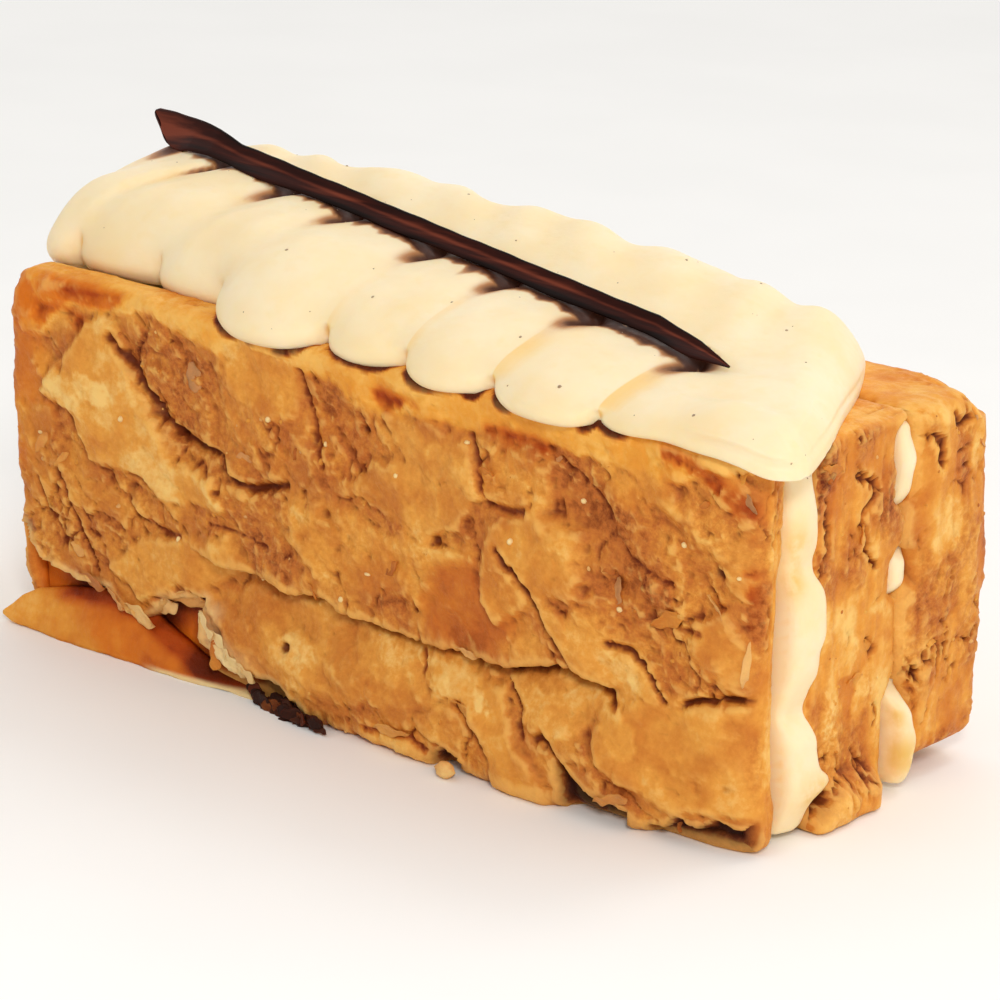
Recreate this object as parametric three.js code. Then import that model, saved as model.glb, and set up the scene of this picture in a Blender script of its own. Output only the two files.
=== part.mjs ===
// A mille-feuille laid on its side. Three slabs of puff pastry stand on edge, with
// vanilla cream between them, a piped wave of cream on top and a chocolate blade on that.
// Millimetres. +X runs along the length, the face in the photo looks to -Y, +Z is up.

import * as THREE from 'three';
import { mergeVertices } from 'three/addons/utils/BufferGeometryUtils.js';

// Driving dimensions
const LENGTH = 110;
const HEIGHT = 43.8;
const GAP = 0.3;
const CREAM_SHORT_OF_TOP = 2.2;
const BLADE_WIDTH = 4.6;
const BLADE_THICKNESS = 0.9;

// Thickness of each layer along Y, from the front to the back
const LAYERS = { frontSlab: 5.5, frontCream: 6, middleSlab: 15, rearCream: 3.5, rearSlab: 13 };
const WIDTH = Object.values(LAYERS).reduce((sum, thickness) => sum + thickness, 0);

// The cream reaches out further to the front and the right than the pastry does to the
// back and the left, so the middle of the whole footprint, which is the origin, lies
// this far from the middle of the pastry.
const FOOTPRINT_MIDDLE = { x: 0.25, y: -1.1 };

// The lobes of the piped wave: where each starts along X and how far forward it reaches
const LOBES = [
  { start: -57.5, reach: 16.6 },
  { start: -50.5, reach: 17.2 },
  { start: -37.7, reach: 19.8 },
  { start: -26, reach: 24.2 },
  { start: -4.3, reach: 23.8 },
  { start: 6.6, reach: 24.2 },
  { start: 19.9, reach: 24.6 },
  { start: 34.5, reach: 24.8 },
];
const END_OF_TOPPING = 58;

const PASTRY = { color: 0xd9964a, roughness: 0.62, metalness: 0 };
const CREAM = { color: 0xf8e3b4, roughness: 0.38, metalness: 0 };
const CHOCOLATE = { color: 0x4b2823, roughness: 0.3, metalness: 0 };

const { abs, cos, floor, max, min, PI, sign, sin, sqrt } = Math;

function clamp01(t) {
  return min(1, max(0, t));
}

function smooth(from, to, t) {
  const s = clamp01((t - from) / (to - from));
  return s * s * (3 - 2 * s);
}

// A repeatable number from 0 to 1 for each pair of whole numbers
function chance(i, j, seed) {
  const s = sin(i * 127.1 + j * 311.7 + seed * 74.7) * 43758.5453;
  return s - floor(s);
}

// Slow swells from -1 to 1 over a face
function swell(a, b, seed) {
  const long = sin(0.11 * a + 0.17 * b + seed);
  const short = sin(0.29 * a - 0.23 * b + 2 * seed) + sin(0.41 * b + 0.13 * a + 3 * seed);
  return (2 * long + short) / 4;
}

// Overlapping flakes from 0 to 1: each rises along the slant and drops at its end
function flakes(a, b, seed) {
  const slant = 0.6;
  const along = (a * cos(slant) - b * sin(slant)) / 11;
  const across = (a * sin(slant) + b * cos(slant)) / 6.5;
  const row = floor(across);
  const place = along + chance(row, 0, seed);
  const rise = place - floor(place);
  return rise * (0.4 + 0.6 * chance(floor(place), row, seed + 5));
}

// A closed block between the given faces, cut into cells, with its edges taken off.
// `shape` then moves each point, and is told which faces the point lies on.
function roundedBlock({ left, right, front, back, bottom, top, cells, round, shape }) {
  const low = new THREE.Vector3(left, front, bottom);
  const high = new THREE.Vector3(right, back, top);
  const size = high.clone().sub(low);
  const middle = low.clone().add(high).multiplyScalar(0.5);
  const half = size.clone().multiplyScalar(0.5);
  let geometry = new THREE.BoxGeometry(size.x, size.y, size.z, ...cells);
  geometry.deleteAttribute('uv');
  geometry.deleteAttribute('normal');
  geometry = mergeVertices(geometry, 1e-4);
  const points = geometry.attributes.position;
  const point = new THREE.Vector3();
  for (let i = 0; i < points.count; i++) {
    point.fromBufferAttribute(points, i);
    const on = {};
    for (const axis of ['x', 'y', 'z']) {
      on[axis] = abs(point[axis]) > half[axis] - 1e-6 ? sign(point[axis]) : 0;
    }
    const facesHere = abs(on.x) + abs(on.y) + abs(on.z);
    if (facesHere > 1) {
      const inward = round * (facesHere === 3 ? 1 - sqrt(1 / 3) : 1 - sqrt(1 / 2));
      for (const axis of ['x', 'y', 'z']) point[axis] -= on[axis] * inward;
    }
    point.add(middle);
    shape(point, on);
    points.setXYZ(i, point.x, point.y, point.z);
  }
  return geometry;
}

// The face that the photo shows best: an upper block hangs over a lower one along a
// crease, plates slant down to the right, and the lower left corner has broken away
// over a leaf that still sticks out at the foot.
const CREASE_HEIGHT = 15;
const CREASE_FROM = -22;
const CREASE_TO = 37;
const BROKEN_TO = -19;
const BROKEN_HEIGHT = 9;
const BROKEN_DEPTH = 2.7;
const LEAF_HEIGHT = 2.6;

function frontRelief(x, z) {
  const edge = smooth(0, 4, z) * smooth(HEIGHT, HEIGHT - 5, z);
  const crags = 1.5 * (flakes(x, z, 3) - 0.4) + 0.7 * swell(x, z, 1);
  return edge * crags + ledge(x, z) - BROKEN_DEPTH * brokenCorner(x, z);
}

// The upper block stands out a little, the crease is cut in below it, and the lower
// block swells out again towards its foot
function ledge(x, z) {
  const alongCrease = smooth(CREASE_FROM - 6, CREASE_FROM + 4, x) * smooth(CREASE_TO + 8, CREASE_TO, x);
  const above = smooth(CREASE_HEIGHT - 1, CREASE_HEIGHT + 1.5, z);
  const upper = above * smooth(HEIGHT - 6, HEIGHT / 2, z);
  const cut = (1 - above) * smooth(4, CREASE_HEIGHT, z);
  const foot = smooth(CREASE_HEIGHT, 6, z) * smooth(-16, 2, x) * smooth(50, 34, x);
  return alongCrease * (0.9 * upper - 1.3 * cut) + 2.2 * foot;
}

// 1 where the outer leaves have broken away above the lower left leaf, and 0 elsewhere
function brokenCorner(x, z) {
  const raggedTop = BROKEN_HEIGHT + 1.8 * swell(4 * x, 0, 7);
  const below = smooth(raggedTop + 1.2, raggedTop - 1.2, z);
  const aboveLeaf = smooth(LEAF_HEIGHT - 0.2, LEAF_HEIGHT + 1.5, z);
  return below * aboveLeaf * smooth(BROKEN_TO + 3, BROKEN_TO - 3, x);
}

function rearRelief(x, z) {
  const edge = smooth(0, 5, z) * smooth(HEIGHT, HEIGHT - 5, z);
  return edge * (1.2 * (flakes(-x, z, 11) - 0.4) + 0.8 * swell(x, z, 4));
}

// Pastry ends show the edges of its leaves as upright ridges
function endRelief(y, z, seed) {
  return 0.7 * swell(7 * y, z, seed) + 0.5 * swell(2 * y, 3 * z, seed + 2);
}

function slab({ front, back, left, right, cells, round, seed, frontFace, backFace }) {
  return roundedBlock({
    left,
    right,
    front,
    back,
    bottom: 0,
    top: HEIGHT,
    cells,
    round,
    shape(point, on) {
      const { x, y, z } = point;
      const awayFromEnds = smooth(left - 1, left + 4, x) * smooth(right + 1, right - 4, x);
      const onTop = on.z === 1;
      if (on.y === -1 && frontFace && !onTop) point.y -= awayFromEnds * frontFace(x, z);
      if (on.y === 1 && backFace && !onTop) point.y += awayFromEnds * backFace(x, z);
      if (on.x !== 0 && on.z === 0) point.x += on.x * endRelief(y, z, seed + on.x);
      if (onTop) point.z += 0.35 * swell(2 * x, 2 * y, seed) - 0.35;
      if (on.z === -1) point.z = 0;
    },
  });
}

// Cream between two slabs swells out of both ends in soft lobes
function creamLayer({ front, back, seed, bulge }) {
  return roundedBlock({
    left: 1 - LENGTH / 2,
    right: LENGTH / 2 - 1,
    front,
    back,
    bottom: 0.6,
    top: HEIGHT - CREAM_SHORT_OF_TOP,
    cells: [2, 4, 14],
    round: 1,
    shape(point, on) {
      if (on.x === 0) return;
      const across = clamp01((point.y - front) / (back - front));
      const lobes = 0.6 + 0.4 * sin(point.z * 0.42 + seed * on.x);
      const taper = smooth(HEIGHT - 1, HEIGHT - 14, point.z);
      point.x += on.x * bulge * sqrt(sin(PI * across)) * lobes * taper;
    },
  });
}

function lobeEnd(index) {
  return index + 1 < LOBES.length ? LOBES[index + 1].start : END_OF_TOPPING;
}

// The lobe at a place along X: its reach, and an arc that is 0 at its ends and 1 halfway
function lobeAt(x) {
  let index = LOBES.length - 1;
  while (index > 0 && x < LOBES[index].start) index--;
  const { start, reach } = LOBES[index];
  const across = clamp01((x - start) / (lobeEnd(index) - start));
  return { reach, arc: sqrt(max(0, 1 - (2 * across - 1) ** 2)) };
}

// How full the topping is towards its ends: 1 along the middle and 0 at the very end
function fullness(x, from, to, power) {
  return (1 - clamp01((x - from) / (to - from)) ** power) ** (1 / power);
}

// The topping slopes up from a low front to a high rear, and gets thinner to the right.
// Its right end is cut off aslant, so that the rear edge ends sooner than the front one.
const CUSP_DEPTH = 3;
const RIB_DEPTH = 0.22;
const REAR_REACH = 16.5;
const FRONT_HEIGHT = { left: 10, middle: 6.4, right: 3.2 };
const REAR_HEIGHT = { left: 16.5, middle: 17, right: 10.5 };
const SQUARENESS = 3.4;

function heightAt({ left, middle, right }, x) {
  const toLeft = (left - middle) * smooth(0, -50, x);
  const toRight = (right - middle) * smooth(-4, 48, x);
  return middle + toLeft + toRight;
}

function toppingSection(x) {
  const { reach, arc } = lobeAt(x);
  const leftEnd = fullness(-x, 49, -LOBES[0].start, 2.2);
  const rightEnd = fullness(x, 49, END_OF_TOPPING, 2.4);
  const frontEdge = -reach + CUSP_DEPTH * (1 - arc) * leftEnd * rightEnd + 11 * (1 - rightEnd);
  const rearEdge = REAR_REACH + 0.7 * sin(0.21 * x) - 28 * smooth(36, 66, x) - 6 * (1 - leftEnd);
  return {
    middle: (frontEdge + rearEdge) / 2,
    half: (rearEdge - frontEdge) / 2,
    front: heightAt(FRONT_HEIGHT, x) * leftEnd * rightEnd,
    rear: heightAt(REAR_HEIGHT, x) * leftEnd * rightEnd,
    valley: 1 - arc,
  };
}

// Height of the topping over the slabs at a place, from the front (-1) to the rear (1)
function toppingLift(section, across) {
  const { front, rear, valley } = section;
  const rounding = max(0, 1 - abs(across) ** SQUARENESS) ** (1 / SQUARENESS);
  const ramp = ((across + 1) / 2) ** 2;
  const ribs = RIB_DEPTH * valley * smooth(0.35, -0.3, across);
  return rounding * (front + (rear - front) * ramp) * (1 - ribs);
}

// One point of the topping's skin. Turn runs from 0 at the front edge over the top to 1
// at the rear edge.
function toppingPoint(x, turn) {
  const section = toppingSection(x);
  const angle = PI * turn;
  const across = -sign(cos(angle)) * abs(cos(angle)) ** (2 / SQUARENESS);
  const y = section.middle + section.half * across;
  return new THREE.Vector3(x, y, HEIGHT + GAP + toppingLift(section, across));
}

// Places along X: a few to each lobe, closer together at its ends where the valleys are
function toppingStations() {
  const places = [];
  LOBES.forEach(({ start }, index) => {
    const end = lobeEnd(index);
    const steps = end - start > 16 ? 10 : 7;
    for (let i = 0; i < steps; i++) {
      const t = (1 - cos((PI * i) / steps)) / 2;
      places.push(start + (end - start) * t);
    }
  });
  places.push(END_OF_TOPPING);
  return places.slice(1, -1);
}

// Joins rings of equal length into one closed skin, with a point at each end
function skinOf(rings, firstTip, lastTip) {
  const count = rings[0].length;
  const positions = [firstTip, ...rings.flat(), lastTip].flatMap((p) => [p.x, p.y, p.z]);
  const last = 1 + rings.length * count;
  const indices = [];
  const at = (ring, i) => 1 + ring * count + (i % count);
  for (let i = 0; i < count; i++) {
    indices.push(0, at(0, i + 1), at(0, i));
    indices.push(last, at(rings.length - 1, i), at(rings.length - 1, i + 1));
    for (let ring = 0; ring + 1 < rings.length; ring++) {
      indices.push(at(ring, i), at(ring, i + 1), at(ring + 1, i + 1));
      indices.push(at(ring, i), at(ring + 1, i + 1), at(ring + 1, i));
    }
  }
  const geometry = new THREE.BufferGeometry();
  geometry.setAttribute('position', new THREE.Float32BufferAttribute(positions, 3));
  geometry.setIndex(indices);
  return geometry;
}

const STEPS_OVER = 13;
const STEPS_UNDER = 4;

function toppingRing(x) {
  const ring = [];
  for (let i = 0; i <= STEPS_OVER; i++) ring.push(toppingPoint(x, i / STEPS_OVER));
  const rear = ring.at(-1);
  const front = ring[0];
  for (let i = 1; i < STEPS_UNDER; i++) ring.push(rear.clone().lerp(front, i / STEPS_UNDER));
  return ring.reverse();
}

function toppingTip(x) {
  return new THREE.Vector3(x, toppingSection(x).middle, HEIGHT + GAP + 0.4);
}

function topping() {
  const rings = toppingStations().map(toppingRing);
  return skinOf(rings, toppingTip(LOBES[0].start), toppingTip(END_OF_TOPPING));
}

// The blade is blunt at the left, then straight as far as a kink, and bends down from
// there to a point. Its section is a shallow trough that leans to the front.
const BLADE_START = new THREE.Vector3(-57, 4.4, HEIGHT + 14.8);
const BLADE_KINK = new THREE.Vector3(32.5, -5.4, HEIGHT + 7);
const BLADE_TIP = new THREE.Vector3(41.5, -7.6, HEIGHT + 5);
const BLADE_COLUMNS = 4;
const BLADE_STATIONS = 26;

function bladeRing(x) {
  const past = x > BLADE_KINK.x;
  const from = past ? BLADE_KINK : BLADE_START;
  const to = past ? BLADE_TIP : BLADE_KINK;
  const centre = from.clone().lerp(to, (x - from.x) / (to.x - from.x));
  const taper = past ? (BLADE_TIP.x - x) / (BLADE_TIP.x - BLADE_KINK.x) : 1;
  const narrowing = 1 - (0.25 * (x - BLADE_START.x)) / (BLADE_TIP.x - BLADE_START.x);
  const halfWidth = (BLADE_WIDTH / 2) * narrowing * taper + 0.1;
  const halfThick = (BLADE_THICKNESS / 2) * (0.4 + 0.6 * taper);
  const lean = 0.3 * halfWidth;
  const hollow = 0.4 * taper;
  const point = (side, across) => {
    const trough = lean * across + hollow * across ** 2;
    const skin = side * halfThick * (1 - 0.55 * abs(across));
    return new THREE.Vector3(centre.x, centre.y + across * halfWidth, centre.z + trough + skin);
  };
  const ring = [];
  for (let i = 0; i <= BLADE_COLUMNS; i++) ring.push(point(1, (2 * i) / BLADE_COLUMNS - 1));
  for (let i = 0; i <= BLADE_COLUMNS; i++) ring.push(point(-1, 1 - (2 * i) / BLADE_COLUMNS));
  return ring.reverse();
}

// How far the blade has to be lifted to lie just clear of the cream under it
function bladeLift(rings) {
  const needed = rings.flat().map((point) => {
    const section = toppingSection(point.x);
    const across = (point.y - section.middle) / section.half;
    return HEIGHT + 2 * GAP + toppingLift(section, across) - point.z;
  });
  return max(0, ...needed);
}

function blade() {
  const rings = [];
  const first = BLADE_START.x + 0.3;
  for (let i = 0; i < BLADE_STATIONS; i++) {
    rings.push(bladeRing(first + ((BLADE_TIP.x - first) * i) / BLADE_STATIONS));
  }
  const geometry = skinOf(rings, BLADE_START, BLADE_TIP);
  geometry.translate(0, 0, bladeLift(rings));
  return geometry;
}

function mesh(name, geometry, { color, roughness, metalness }) {
  const material = new THREE.MeshStandardMaterial({ color, roughness, metalness });
  geometry.computeVertexNormals();
  const made = new THREE.Mesh(geometry, material);
  made.name = name;
  return made;
}

// Where a layer starts and ends along Y, drawn in by `inset` on both sides
function layer(name, inset) {
  let front = -WIDTH / 2;
  for (const [other, thickness] of Object.entries(LAYERS)) {
    if (other === name) break;
    front += thickness;
  }
  return { front: front + inset, back: front + LAYERS[name] - inset };
}

function build() {
  const group = new THREE.Group();
  const end = LENGTH / 2;
  const frontSlab = slab({
    ...layer('frontSlab', 0),
    left: -end - 0.8,
    right: end,
    cells: [40, 2, 16],
    round: 2,
    seed: 2,
    frontFace: frontRelief,
  });
  const middleSlab = slab({
    ...layer('middleSlab', 0),
    left: -end + 0.5,
    right: end - 0.5,
    cells: [8, 6, 14],
    round: 1.2,
    seed: 5,
  });
  const rearSlab = slab({
    ...layer('rearSlab', 0),
    left: -end - 0.5,
    right: end + 0.8,
    cells: [30, 5, 13],
    round: 3,
    seed: 8,
    backFace: rearRelief,
  });
  const frontCream = creamLayer({ ...layer('frontCream', GAP), seed: 1, bulge: 2.6 });
  const rearCream = creamLayer({ ...layer('rearCream', GAP), seed: 3, bulge: 1.2 });

  group.add(mesh('pastry_front', frontSlab, PASTRY));
  group.add(mesh('cream_front', frontCream, CREAM));
  group.add(mesh('pastry_middle', middleSlab, PASTRY));
  group.add(mesh('cream_rear', rearCream, CREAM));
  group.add(mesh('pastry_rear', rearSlab, PASTRY));
  group.add(mesh('cream_topping', topping(), CREAM));
  group.add(mesh('chocolate_blade', blade(), CHOCOLATE));
  group.position.set(-FOOTPRINT_MIDDLE.x, -FOOTPRINT_MIDDLE.y, 0);
  return group;
}

export default build();
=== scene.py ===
"""The looks of a mille-feuille that lies on its side: three slabs of puff pastry on edge,
vanilla cream between them, a piped wave of cream on top and a chocolate blade on that.

Shapes are worked out in millimetres, with X along the length, the face in the photo
towards -Y and Z up, from the middle of the pastry. They are turned into the frame's
metres when a piece is made."""

import itertools
import math

import bpy
import numpy as np
from mathutils import Matrix


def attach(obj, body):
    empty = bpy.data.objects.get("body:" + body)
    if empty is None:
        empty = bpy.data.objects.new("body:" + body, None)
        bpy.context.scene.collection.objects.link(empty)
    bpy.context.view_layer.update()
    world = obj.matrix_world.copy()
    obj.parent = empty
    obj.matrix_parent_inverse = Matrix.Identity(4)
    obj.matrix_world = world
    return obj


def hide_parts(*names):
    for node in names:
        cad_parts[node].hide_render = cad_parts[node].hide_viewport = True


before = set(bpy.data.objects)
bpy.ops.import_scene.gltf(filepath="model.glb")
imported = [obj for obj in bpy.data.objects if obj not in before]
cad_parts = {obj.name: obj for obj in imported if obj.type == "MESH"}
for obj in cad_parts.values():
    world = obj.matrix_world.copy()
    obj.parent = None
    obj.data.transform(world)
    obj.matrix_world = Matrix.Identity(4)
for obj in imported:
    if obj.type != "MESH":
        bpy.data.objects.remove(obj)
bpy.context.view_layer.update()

# Sizes that the part's solids have too
LENGTH = 110.0
HEIGHT = 43.8
GAP = 0.3
LAYERS = {
    "front_slab": 5.5,
    "front_cream": 6.0,
    "middle_slab": 15.0,
    "rear_cream": 3.5,
    "rear_slab": 13.0,
}
WIDTH = sum(LAYERS.values())
END = LENGTH / 2
FRONT = -WIDTH / 2
# The frame's origin, which is the middle of the solids' box
MIDDLE_IN_MM = np.array([0.25, -1.1, 0.0])
MM = 0.001
# Farther off, in millimetres, than anything in the scene
FAR = 1e9


def to_frame(points):
    """From millimetres to the frame's metres."""
    return (np.asarray(points, float) - MIDDLE_IN_MM) * MM


def layer(name):
    """Where a layer starts and ends along Y."""
    start = FRONT
    for other, thickness in LAYERS.items():
        if other == name:
            return start, start + thickness
        start += thickness


# Shares and noise

def smooth(start, end, t):
    """From 0 at the start to 1 at the end, easing in and out."""
    s = np.clip((t - start) / (end - start), 0, 1)
    return s * s * (3 - 2 * s)


def mix(a, b, share):
    return a + (b - a) * share


def bump(centre, reach, t):
    """1 at the centre, falling away to nearly 0 at twice the reach."""
    return np.exp(-(((t - centre) / reach) ** 2))


class Noise:
    """Repeatable noise in space, from about -1 to 1."""

    def __init__(self, seed):
        draw = np.random.default_rng(seed)
        self.order = draw.permutation(256)
        slopes = draw.normal(size=(256, 3))
        self.slopes = slopes / np.linalg.norm(slopes, axis=1)[:, None]
        self.levels = draw.random(256)

    def number(self, *cells):
        """A cell's own number from 0 to 255."""
        index = 0
        for cell in cells:
            index = self.order[(index + cell) & 255]
        return index

    def at(self, *place):
        """One layer of noise, at places on two or three axes."""
        place = [np.asarray(c, float) for c in np.broadcast_arrays(*place)]
        while len(place) < 3:
            place.append(np.zeros_like(place[0]) + 0.37)
        cell = [np.floor(c).astype(int) for c in place]
        part = [c - f for c, f in zip(place, cell)]
        fade = [t * t * t * (t * (t * 6 - 15) + 10) for t in part]
        total = 0
        for corner in itertools.product((0, 1), repeat=3):
            slope = self.slopes[self.number(*(c + k for c, k in zip(cell, corner)))]
            weight = 1
            for f, k in zip(fade, corner):
                weight = weight * (f if k else 1 - f)
            climb = sum((t - k) * slope[..., n] for n, (t, k) in enumerate(zip(part, corner)))
            total = total + weight * climb
        return total * 1.7

    def summed(self, shape, place, octaves, growth, shift):
        """Noise of several sizes, each finer and half as strong as the one before."""
        total, strength, scale, most = 0, 1, 1, 0
        for _ in range(octaves):
            level = self.at(*(np.asarray(c) * scale + shift * scale for c in place))
            total = total + strength * shape(level)
            most += strength
            strength *= 0.5
            scale *= growth
        return total / most

    def layers(self, *place, octaves=4):
        return self.summed(lambda level: level, place, octaves, 2.03, 13.1) * 1.4

    def ridges(self, *place):
        """Sharp crests near 1 between rounded hollows near 0."""
        return self.summed(lambda level: 1 - np.abs(level), place, 3, 2.1, 7.7)

    def cells(self, a, b):
        """Uneven cells in a plane: how far in from its border a place lies, the cell's own
        level from 0 to 1, and how far along `a` the place lies from the cell's middle."""
        base_a, base_b = np.floor(a).astype(int), np.floor(b).astype(int)
        first, second = np.full(a.shape, FAR), np.full(a.shape, FAR)
        level, from_a = np.zeros(a.shape), np.zeros(a.shape)
        for i, j in itertools.product((-1, 0, 1), repeat=2):
            ca, cb = base_a + i, base_b + j
            shift_a, shift_b, own = (self.levels[self.number(ca, cb, 0 * ca + n)] for n in range(3))
            da, db = a - (ca + 0.15 + 0.7 * shift_a), b - (cb + 0.15 + 0.7 * shift_b)
            away = np.hypot(da, db)
            nearer = away < first
            second = np.where(nearer, first, np.minimum(second, away))
            level = np.where(nearer, own, level)
            from_a = np.where(nearer, da, from_a)
            first = np.minimum(first, away)
        return second - first, level, from_a


ROUGH = Noise(11)
SWELL = Noise(23)
FLAKE = Noise(37)


def line_distance(x, z, points):
    """How far places lie from a line through points."""
    nearest = np.full(x.shape, FAR)
    for (x0, z0), (x1, z1) in zip(points, points[1:]):
        dx, dz = x1 - x0, z1 - z0
        t = np.clip(((x - x0) * dx + (z - z0) * dz) / (dx * dx + dz * dz), 0, 1)
        nearest = np.minimum(nearest, np.hypot(x - x0 - t * dx, z - z0 - t * dz))
    return nearest


def inside_depth(x, z, outline):
    """How far places lie inside an outline, and below 0 outside it."""
    closed = [*outline, outline[0]]
    inside = np.zeros(x.shape, bool)
    for (x0, z0), (x1, z1) in zip(closed, closed[1:]):
        if z0 != z1:
            inside ^= ((z0 > z) != (z1 > z)) & (x < x0 + (z - z0) * (x1 - x0) / (z1 - z0))
    nearest = line_distance(x, z, closed)
    return np.where(inside, nearest, -nearest)


# Meshes

def block(low, high, step, rounding, hidden=(), hidden_step=4):
    """A closed box cut into small squares, with its edges rounded. Hidden faces, such as
    "+y", get larger squares. Gives points, outward directions and faces."""
    low, high = np.array(low, float), np.array(high, float)
    counts = [max(4, math.ceil((b - a) / step)) for a, b in zip(low, high)]
    numbers = {}
    faces = []

    def vertex(place):
        return numbers.setdefault(place, len(numbers))

    for axis, side in itertools.product(range(3), (0, 1)):
        a, b = (axis + 1) % 3, (axis + 2) % 3
        name = "-+"[side] + "xyz"[axis]
        stride = hidden_step if name in hidden else 1
        cuts_a = sorted({*range(0, counts[a], stride), counts[a]})
        cuts_b = sorted({*range(0, counts[b], stride), counts[b]})
        for a0, a1 in zip(cuts_a, cuts_a[1:]):
            for b0, b1 in zip(cuts_b, cuts_b[1:]):
                walk = along_edges(a0, a1, b0, b1, counts[a], counts[b])
                corners = []
                for i, j in walk:
                    place = [0, 0, 0]
                    place[axis], place[a], place[b] = side * counts[axis], i, j
                    corners.append(vertex(tuple(place)))
                faces.append(corners if side else corners[::-1])
    places = np.array(list(numbers), float)
    points = low + (high - low) * places / counts
    core = np.clip(points, low + rounding, high - rounding)
    out = points - core
    out /= np.linalg.norm(out, axis=1)[:, None]
    return core + out * rounding, out, faces


def along_edges(a0, a1, b0, b1, last_a, last_b):
    """The corners of one square, with every small step where it borders another face."""
    def steps(start, end, fine):
        return range(start, end, 1 if end > start else -1) if fine else (start,)

    return [
        *((i, b0) for i in steps(a0, a1, b0 == 0)),
        *((a1, j) for j in steps(b0, b1, a1 == last_a)),
        *((i, b1) for i in steps(a1, a0, b1 == last_b)),
        *((a0, j) for j in steps(b1, b0, a0 == 0)),
    ]


def skin(rings):
    """Joins rings of equal length into one closed skin, with a point at each end."""
    rings = np.asarray(rings, float)
    count, size = rings.shape[:2]
    points = [*rings.reshape(-1, 3), rings[0].mean(0), rings[-1].mean(0)]
    faces = []
    for r in range(count - 1):
        for i in range(size):
            j = (i + 1) % size
            faces.append((r * size + i, r * size + j, (r + 1) * size + j, (r + 1) * size + i))
    first, last = count * size, count * size + 1
    for i in range(size):
        j = (i + 1) % size
        faces.append((first, j, i))
        faces.append((last, (count - 1) * size + i, (count - 1) * size + j))
    return np.array(points), faces


def edges_of(faces):
    pairs = {(min(a, b), max(a, b)) for face in faces for a, b in zip(face, [*face[1:], face[0]])}
    return np.array(sorted(pairs))


# Rounds of averaging with the points next to them that bring out the hollows of each
PASTRY_ROUNDS, CREAM_ROUNDS, WAVE_ROUNDS = 14, 12, 110


def hollowness(points, faces, outward, rounds):
    """How far each point lies below the average of those round it, in millimetres."""
    a, b = edges_of(faces).T
    size = len(points)
    neighbours = np.bincount(a, minlength=size) + np.bincount(b, minlength=size)
    level = points.copy()
    for _ in range(rounds):
        total = np.stack([
            np.bincount(a, level[b, axis], size) + np.bincount(b, level[a, axis], size)
            for axis in range(3)
        ], 1)
        level = (level + total / neighbours[:, None]) / 2
    return ((level - points) * outward).sum(1)


def mesh_of(name, points, faces):
    """A mesh of points and faces, as Blender keeps it."""
    mesh = bpy.data.meshes.new(name)
    mesh.from_pydata(np.asarray(points).tolist(), [], [list(map(int, face)) for face in faces])
    return mesh


def outward(points, faces):
    """Outward directions of a mesh's points."""
    mesh = mesh_of("measure", points, faces)
    out = np.empty(len(mesh.vertices) * 3, np.float32)
    mesh.vertex_normals.foreach_get("vector", out)
    bpy.data.meshes.remove(mesh)
    return out.reshape(-1, 3)


def put_in_scene(name, data):
    made = bpy.data.objects.new(name, data)
    bpy.context.scene.collection.objects.link(made)
    return made


def piece(name, points, faces, material, node=None, masks=None):
    """Makes a smooth mesh object, with its masks as attributes for the material."""
    mesh = mesh_of(name, to_frame(points), faces)
    mesh.shade_smooth()
    mesh.materials.append(material)
    for key, values in (masks or {}).items():
        mask = mesh.attributes.new(key, "FLOAT", "POINT")
        mask.data.foreach_set("value", np.asarray(values, np.float32))
    made = put_in_scene(name, mesh)
    if node:
        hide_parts(node)
    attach(made, "root")


# Materials

def srgb(red, green, blue):
    """A colour as a picture editor shows it, from 0 to 255, made linear."""
    parts = [c / 255 for c in (red, green, blue)]
    return tuple(c / 12.92 if c <= 0.04045 else ((c + 0.055) / 1.055) ** 2.4 for c in parts) + (1.0,)


class Nodes:
    """A node tree, built up node by node."""

    def __init__(self, tree):
        self.tree = tree

    def add(self, kind, inputs=None, **settings):
        made = self.tree.nodes.new(kind)
        for key, value in settings.items():
            setattr(made, key, value)
        for key, value in (inputs or {}).items():
            self.put(made.inputs[key], value)
        return made

    def put(self, socket, value):
        if isinstance(value, bpy.types.NodeSocket):
            self.tree.links.new(value, socket)
        else:
            socket.default_value = value

    def blend(self, share, a, b):
        return self.add("ShaderNodeMix", {0: share, 6: a, 7: b}, data_type="RGBA").outputs[2]


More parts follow.
